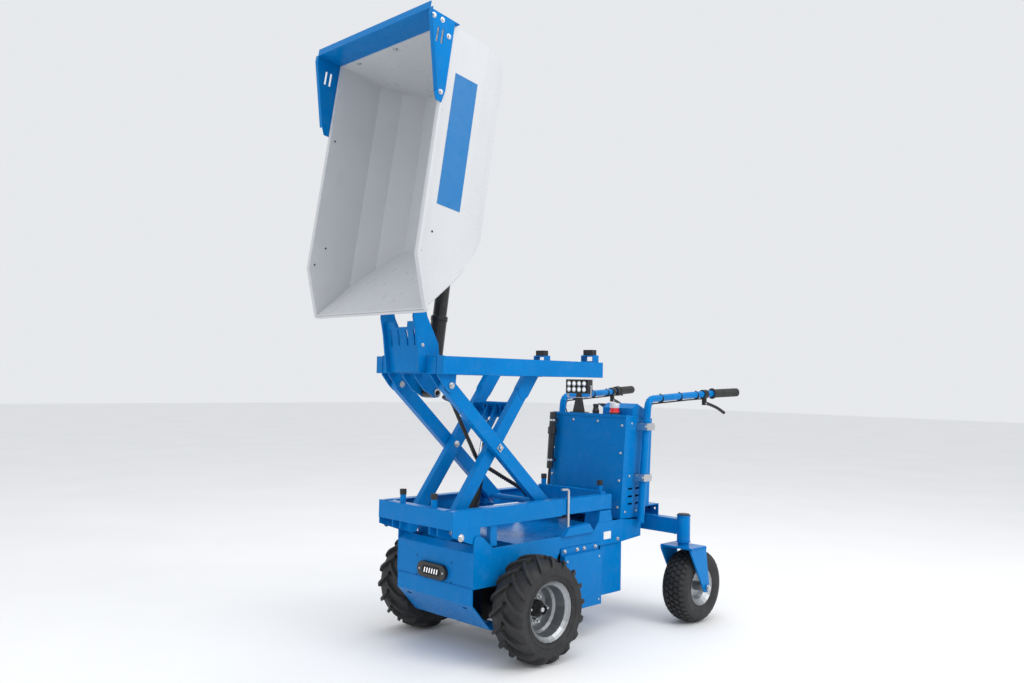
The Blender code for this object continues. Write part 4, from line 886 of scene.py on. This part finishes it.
def pin_ends():
    """Washers and bolt heads on the scissor's pins."""
    mid = at(SCISSOR_X, 0, SCISSOR_Z)
    ia, oa = INNER_TURN, OUTER_TURN
    low_in = mid + Vector((math.cos(ia), 0, -math.sin(ia))) * 0.3908
    high_out = mid + Vector((math.cos(oa), 0, math.sin(oa))) * 0.3726
    plates = Piece("outer_arm_washers", "outer_arm_pair", ZINC, "zinc", False)
    top = Piece("platform_pin_bolts", "top_platform", ZINC, "zinc", False)
    foot = Piece("frame_pin_bolts", "chassis", ZINC, "zinc", False)
    inner = Piece("inner_arm_pin_bolts", "inner_arm_pair", ZINC, "zinc", False)
    for side in (1, -1):
        out = (0, side, 0)
        y = side * (0.1335 + 0.029 + 0.0005)
        turn = -oa
        c = Vector((mid.x, y, mid.z))
        plates.block((c.x - 0.0135, min(y, y + side * 0.003), c.z - 0.0135),
                     (c.x + 0.0135, max(y, y + side * 0.003), c.z + 0.0135), turn, c)
        plates.hexagon(Vector((c.x, y + side * 0.003, c.z)), out, 0.015, 0.006)
        y = side * (0.1335 + 0.029 + 0.0155)
        top.hexagon(Vector((high_out.x, y, high_out.z)), out, 0.016, 0.007, 0.026)
        top.hexagon(Vector((high_out.x, side * 0.1268, high_out.z)), (0, -side, 0), 0.017, 0.008, 0.026)
        inner.hexagon(Vector((c.x, side * 0.0990, c.z)), (0, -side, 0), 0.017, 0.008, 0.028)
        foot.hexagon(Vector((low_in.x, side * FOOT_PIN_Y, low_in.z)), out, 0.016, 0.007, 0.024)
    plates.done()
    inner.done()
    top.done()
    foot.done()


def platform_welds():
    """Beads where the rails, ears and tower plates meet."""
    p = Piece("platform_welds", "top_platform", WELD, "blue_paint")
    for side in (1, -1):
        for inner in (0.096, 0.104):
            y = side * inner
            shift = -0.0018 if inner < 0.1 else 0.0018
            p.bead(at(0.322, y + side * shift, 1.1755), at(0.386, y + side * shift, 1.1755))
        p.bead(at(0.3895, side * 0.1055, 1.112), at(0.4190, side * 0.1055, 1.112))
        p.bead(at(-0.511, side * 0.166, 1.1745), at(-0.551, side * 0.166, 1.1745))
        p.bead(at(0.388, side * 0.166, 1.1745), at(0.348, side * 0.166, 1.1745))
        p.bead(at(0.3890, side * 0.1660, 1.108), at(0.3890, side * 0.1660, 1.172), 0.0020)
        p.ring_bead(at(HINGE_X, side * 0.1045, HINGE_Z), (0, 1, 0), 0.0125, 0.0020)
    p.done()
    bolts = Piece("hinge_bolts", "top_platform", ZINC, "zinc", False)
    for side in (1, -1):
        bolts.hexagon(at(HINGE_X, side * 0.109, HINGE_Z), (0, side, 0), 0.016, 0.006, 0.024)
        bolts.hexagon(at(0.405, side * 0.104, 1.215), (0, side, 0), 0.010, 0.004, 0.015)
    bolts.done()


def hose_wrap():
    """Spiral guard round the hydraulic hose, and its end fittings."""
    oa = OUTER_TURN

    def spot(s, n):
        return at(SCISSOR_X + s * math.cos(oa) - n * math.sin(oa), 0.065,
                  SCISSOR_Z + s * math.sin(oa) + n * math.cos(oa))

    path = smooth_path([spot(0.255, 0.0195), spot(0.150, -0.0135), spot(0.065, -0.0380),
                        spot(-0.020, -0.0585),
                        spot(-0.150, -0.0285), spot(-0.290, 0.0110)], 26)
    p = Piece("hose_spiral_guard", "outer_arm_pair", SLEEVE, "rubber")
    turns = 58
    u, v = None, None
    rail = []
    total = len(path) * 5
    for i in range(total):
        f = i / total * (len(path) - 1)
        j = int(f)
        c = path[j].lerp(path[j + 1], f - j)
        ahead = (path[j + 1] - path[j]).normalized()
        if u is None:
            u, v = side_axes(ahead)
        else:
            u = (u - ahead * u.dot(ahead)).normalized()
            v = ahead.cross(u)
        a = 2 * math.pi * turns * i / total
        rail.append(c + (u * math.cos(a) + v * math.sin(a)) * 0.0078)
    p.pipe(rail, 0.0016, 5)
    p.done()
    ends = Piece("hose_fittings", "outer_arm_pair", ZINC, "zinc", False)
    a, b = spot(0.300, 0.004), spot(0.262, 0.0180)
    ends.turned(a, b - a, [(0.0098, 0.0), (0.0098, 0.022), (0.0080, 0.024)], 6)
    ends.done()


def cylinder_details():
    """Glands, ports and eye pins of both cylinders."""
    base = at(0.276, 0, 1.032)
    eye = on_rim(0.350, 0, BUCKET_D + 0.035)
    ahead = (eye - base).normalized()
    gland = Piece("tilt_gland", "tilt_cylinder_barrel", ENAMEL, "black_metal")
    gland.turned(base, ahead,
                 [(0.0290, 0.2900), (0.0345, 0.2905), (0.0345, 0.3075), (0.0320, 0.3100), (0.0290, 0.3118)],
                 32, ring=True)
    gland.ring_bead(base + ahead * 0.040, ahead, 0.0325, 0.0022)
    gland.done()
    port = Piece("tilt_port", "tilt_cylinder_barrel", ZINC, "zinc", False)
    c = base + ahead * 0.072
    port.turned(c + Vector((0, 0.030, 0)), (0, 1, 0),
                [(0.010, 0.0), (0.010, 0.010), (0.007, 0.011), (0.007, 0.018)], 6)
    port.done()
    bush = Piece("tilt_pin_ends", "top_platform", ZINC, "zinc")
    for hand in (1, -1):
        bush.turned(base + Vector((0, hand * 0.0400, 0)), (0, hand, 0),
                [(0.0165, 0.0003), (0.0165, 0.0060), (0.0110, 0.0070),
                (0.0105, 0.0040), (0.0, 0.0040)], 24)
    bush.done()
    # hollow pin centres drawn as near-black discs: painted shade
    hollow = Piece("tilt_pin_centres", "top_platform", SHADE_BLACK, "black_metal")
    for hand in (1, -1):
        hollow.turned(base + Vector((0, hand * 0.0443, 0)), (0, hand, 0), [(0.0092, 0.0), (0.0092, 0.0006)],
                      20)
    hollow.done()
    mid = at(SCISSOR_X, 0, SCISSOR_Z)
    ia = INNER_TURN
    a, n = Vector((-math.cos(ia), 0, math.sin(ia))), Vector((math.sin(ia), 0, math.cos(ia)))
    low = mid - a * 0.3908
    lift_eye = low + a * 0.508 - n * 0.012
    foot = at(0.060, 0, 0.440)
    ahead = (lift_eye - foot).normalized()
    gland = Piece("lift_gland", "lift_cylinder_barrel", ENAMEL, "black_metal")
    gland.turned(foot, ahead,
                 [(0.0152, 0.2780), (0.0282, 0.2785), (0.0282, 0.2955), (0.0262, 0.2975), (0.0152, 0.2995)],
                 28, ring=True)
    gland.done()


# ---------------------------------------------------------------- bucket and hood

def bucket_details():
    """Blank side decals, small holes drawn as discs of painted shade, and weld beads."""
    for word, side in SIDES:
        decal = Piece("blank_decal_" + word, "tip_bucket", SKIN, "blue_paint", False)
        y = side * (BUCKET_HALF + 0.0003)
        corners = [(0.202, 0.062), (0.695, 0.062), (0.695, 0.172), (0.202, 0.172)]
        decal.slab([on_rim(u, y, w) for u, w in corners], (0, side * 0.0004, 0))
        decal.done()
    # holes drawn as near-black discs: painted shade
    holes = Piece("bucket_holes", "tip_bucket", SHADE_BLACK, "black_plastic")
    for side in (1, -1):
        for u, w in ((0.098, 0.060), (0.020, 0.022), (0.540, 0.022)):
            holes.turned(on_rim(u, side * (BUCKET_HALF + 0.0003), w), (0, side, 0),
                         [(0.0042, -0.0002), (0.0042, 0.0002)], 14)
            holes.turned(on_rim(u, side * (BUCKET_HALF - 0.0043), w), (0, -side, 0),
                         [(0.0042, -0.0002), (0.0042, 0.0002)], 14)
    holes.done()
    welds = Piece("bucket_welds", "tip_bucket", BEAD_WHITE, "white_paint")
    for side in (1, -1):
        welds.bead(on_rim(0.857, side * 0.2300, 0.372), on_rim(0.851, side * 0.2980, 0.289), 0.0020)
        welds.bead(on_rim(0.853, side * 0.2990, 0.286), on_rim(0.855, side * 0.3300, 0.198), 0.0020)
        welds.bead(on_rim(0.855, side * 0.3305, 0.196), on_rim(0.857, side * 0.3305, 0.040), 0.0020)
    welds.done()


def bucket_rim():
    """Edge rolled outward round the bucket's rim, and over its front lip."""
    p = Piece("bucket_rolled_rim", "tip_bucket", WHITE, "white_paint")
    y = BUCKET_HALF + 0.0085
    tip = (-0.180, 0.070)
    for side in (1, -1):
        path = [on_rim(BUCKET_L - 0.004, side * y, 0.004), on_rim(0.010, side * y, 0.004),
                on_rim(0.003, side * y, 0.005), on_rim(-0.004, side * y, 0.008),
                on_rim(tip[0] + 0.006, side * y, tip[1] + 0.002),
                on_rim(tip[0] - 0.002, side * (y - 0.002), tip[1] + 0.007),
                on_rim(tip[0] - 0.003, side * (y - 0.012), tip[1] + 0.008)]
        p.pipe(path, 0.0062, 12)
    p.pipe([on_rim(tip[0] - 0.003, y - 0.012, tip[1] + 0.008),
            on_rim(tip[0] - 0.003, 0.012 - y, tip[1] + 0.008)], 0.0062, 12)
    p.done()
    seam = Piece("bucket_lip_welds", "tip_bucket", BEAD_WHITE, "white_paint")
    for side in (1, -1):
        seam.bead(on_rim(-0.170, side * (BUCKET_HALF - 0.0045), 0.083),
                  on_rim(0.005, side * (BUCKET_HALF - 0.0045), 0.2420), 0.0020)
    seam.done()


def hood_details():
    """Bolts of the hood."""
    p = Piece("hood_bolts", "tip_bucket", ZINC, "zinc", False)
    half = BUCKET_HALF + 0.0145 + 0.003
    for side in (1, -1):
        for u, w in ((0.846, -0.084), (0.846, -0.044), (0.800, -0.006), (0.590, -0.006)):
            p.hexagon(on_rim(u, side * half, w), (0, side, 0), 0.012, 0.005, 0.020)
    for y in (-0.240, 0.0, 0.240):
        p.hexagon(on_rim(BUCKET_L - 0.0042, y, 0.018), -RIM_BACK, 0.012, 0.005, 0.020)
        p.hexagon(on_rim(BUCKET_L + 0.0042, y, 0.018), RIM_BACK, 0.012, 0.005, 0.020)
    p.done()


def underside_details():
    """Rings of six bolts on the two ends of the drive axle."""
    p = Piece("drive_unit_bolts", "chassis", ZINC, "zinc", False)
    for y in (-0.205, 0.205):
        for a in range(6):
            ang = math.pi / 3 * a
            p.hexagon(Vector((AX + 0.034 * math.cos(ang), y, 0.205 + 0.034 * math.sin(ang))),
                      (0, 1 if y > 0 else -1, 0),
                      0.008, 0.004)
    p.done()


# ---------------------------------------------------------------- studio

def studio():
    """Wide pale floor, soft lights and the camera."""
    reach = 30.0
    mesh = bpy.data.meshes.new("floor")
    mesh.from_pydata([(-reach, -reach, 0.0), (reach, -reach, 0.0), (reach, reach, 0.0), (-reach, reach, 0.0)],
                     [], [(0, 1, 2, 3)])
    floor = bpy.data.objects.new("floor", mesh)
    bpy.context.scene.collection.objects.link(floor)
    mat, tree, bsdf = shader("pale_floor")
    tone = ramp(tree, noise(tree, 1.2, 3.0), 0.3, 0.7)
    tree.links.new(mix(tree, tone, (0.90, 0.90, 0.90), (0.87, 0.87, 0.875)), bsdf.inputs["Base Color"])
    bsdf.inputs["Roughness"].default_value = 0.75
    relief(tree, bsdf, noise(tree, 90.0, 3.0), 0.03, 0.0005)
    mesh.materials.append(mat)

    world = bpy.data.worlds.new("studio")
    bpy.context.scene.world = world
    world.use_nodes = True
    back = world.node_tree.nodes["Background"]
    back.inputs["Color"].default_value = (0.95, 0.97, 1.0, 1.0)
    back.inputs["Strength"].default_value = 0.84

    def area(name, place, aim, size, energy, colour=(1, 1, 1)):
        light = bpy.data.lights.new(name, "AREA")
        light.shape = "RECTANGLE"
        light.size, light.size_y = size
        light.energy = energy
        light.color = colour
        obj = bpy.data.objects.new(name, light)
        obj.location = place
        obj.rotation_euler = (Vector(aim) - Vector(place)).to_track_quat("-Z", "Y").to_euler()
        bpy.context.scene.collection.objects.link(obj)

    area("key", (-0.5, 5.0, 4.2), (0.0, 0.0, 1.0), (3.0, 3.0), 130.0, (1.0, 0.99, 0.97))
    area("overhead", (0.3, 0.5, 5.2), (0.0, 0.0, 0.8), (4.0, 4.0), 80.0)
    area("fill", (5.0, -1.0, 2.4), (0.0, 0.0, 1.0), (3.0, 3.0), 20.0, (0.96, 0.98, 1.0))

    cam = bpy.data.cameras.new("camera")
    cam.sensor_width = 36.0
    cam.lens = 31.67
    cam.clip_start = 0.05
    obj = bpy.data.objects.new("camera", cam)
    bpy.context.scene.collection.objects.link(obj)
    yaw, pitch, roll = math.radians(44.9812), math.radians(2.4724), math.radians(1.0911)
    da = math.pi + yaw
    d = Vector((math.cos(da) * math.cos(pitch), math.sin(da) * math.cos(pitch), math.sin(pitch)))
    right = Vector((math.cos(da - math.pi / 2), math.sin(da - math.pi / 2), 0.0))
    up = right.cross(d)
    right2 = right * math.cos(roll) + up * math.sin(roll)
    up2 = up * math.cos(roll) - right * math.sin(roll)
    rot = Matrix((right2, up2, -d)).transposed()
    obj.matrix_world = Matrix.Translation((2.5861 + AX, 2.7636, 1.087)) @ rot.to_4x4()
    bpy.context.scene.camera = obj
    bpy.context.scene.view_settings.view_transform = "Standard"


cad_looks()
for word, _ in SIDES:
    drive_tyre(word)
    caster_tyre(word)
wheel_fittings()
chassis_bolts()
lamp()
frame_welds()
labels()
console_details()
lights()
accumulator_details()
bar_details()
pin_ends()
platform_welds()
hose_wrap()
cylinder_details()
bucket_details()
bucket_rim()
hood_details()
underside_details()
studio()
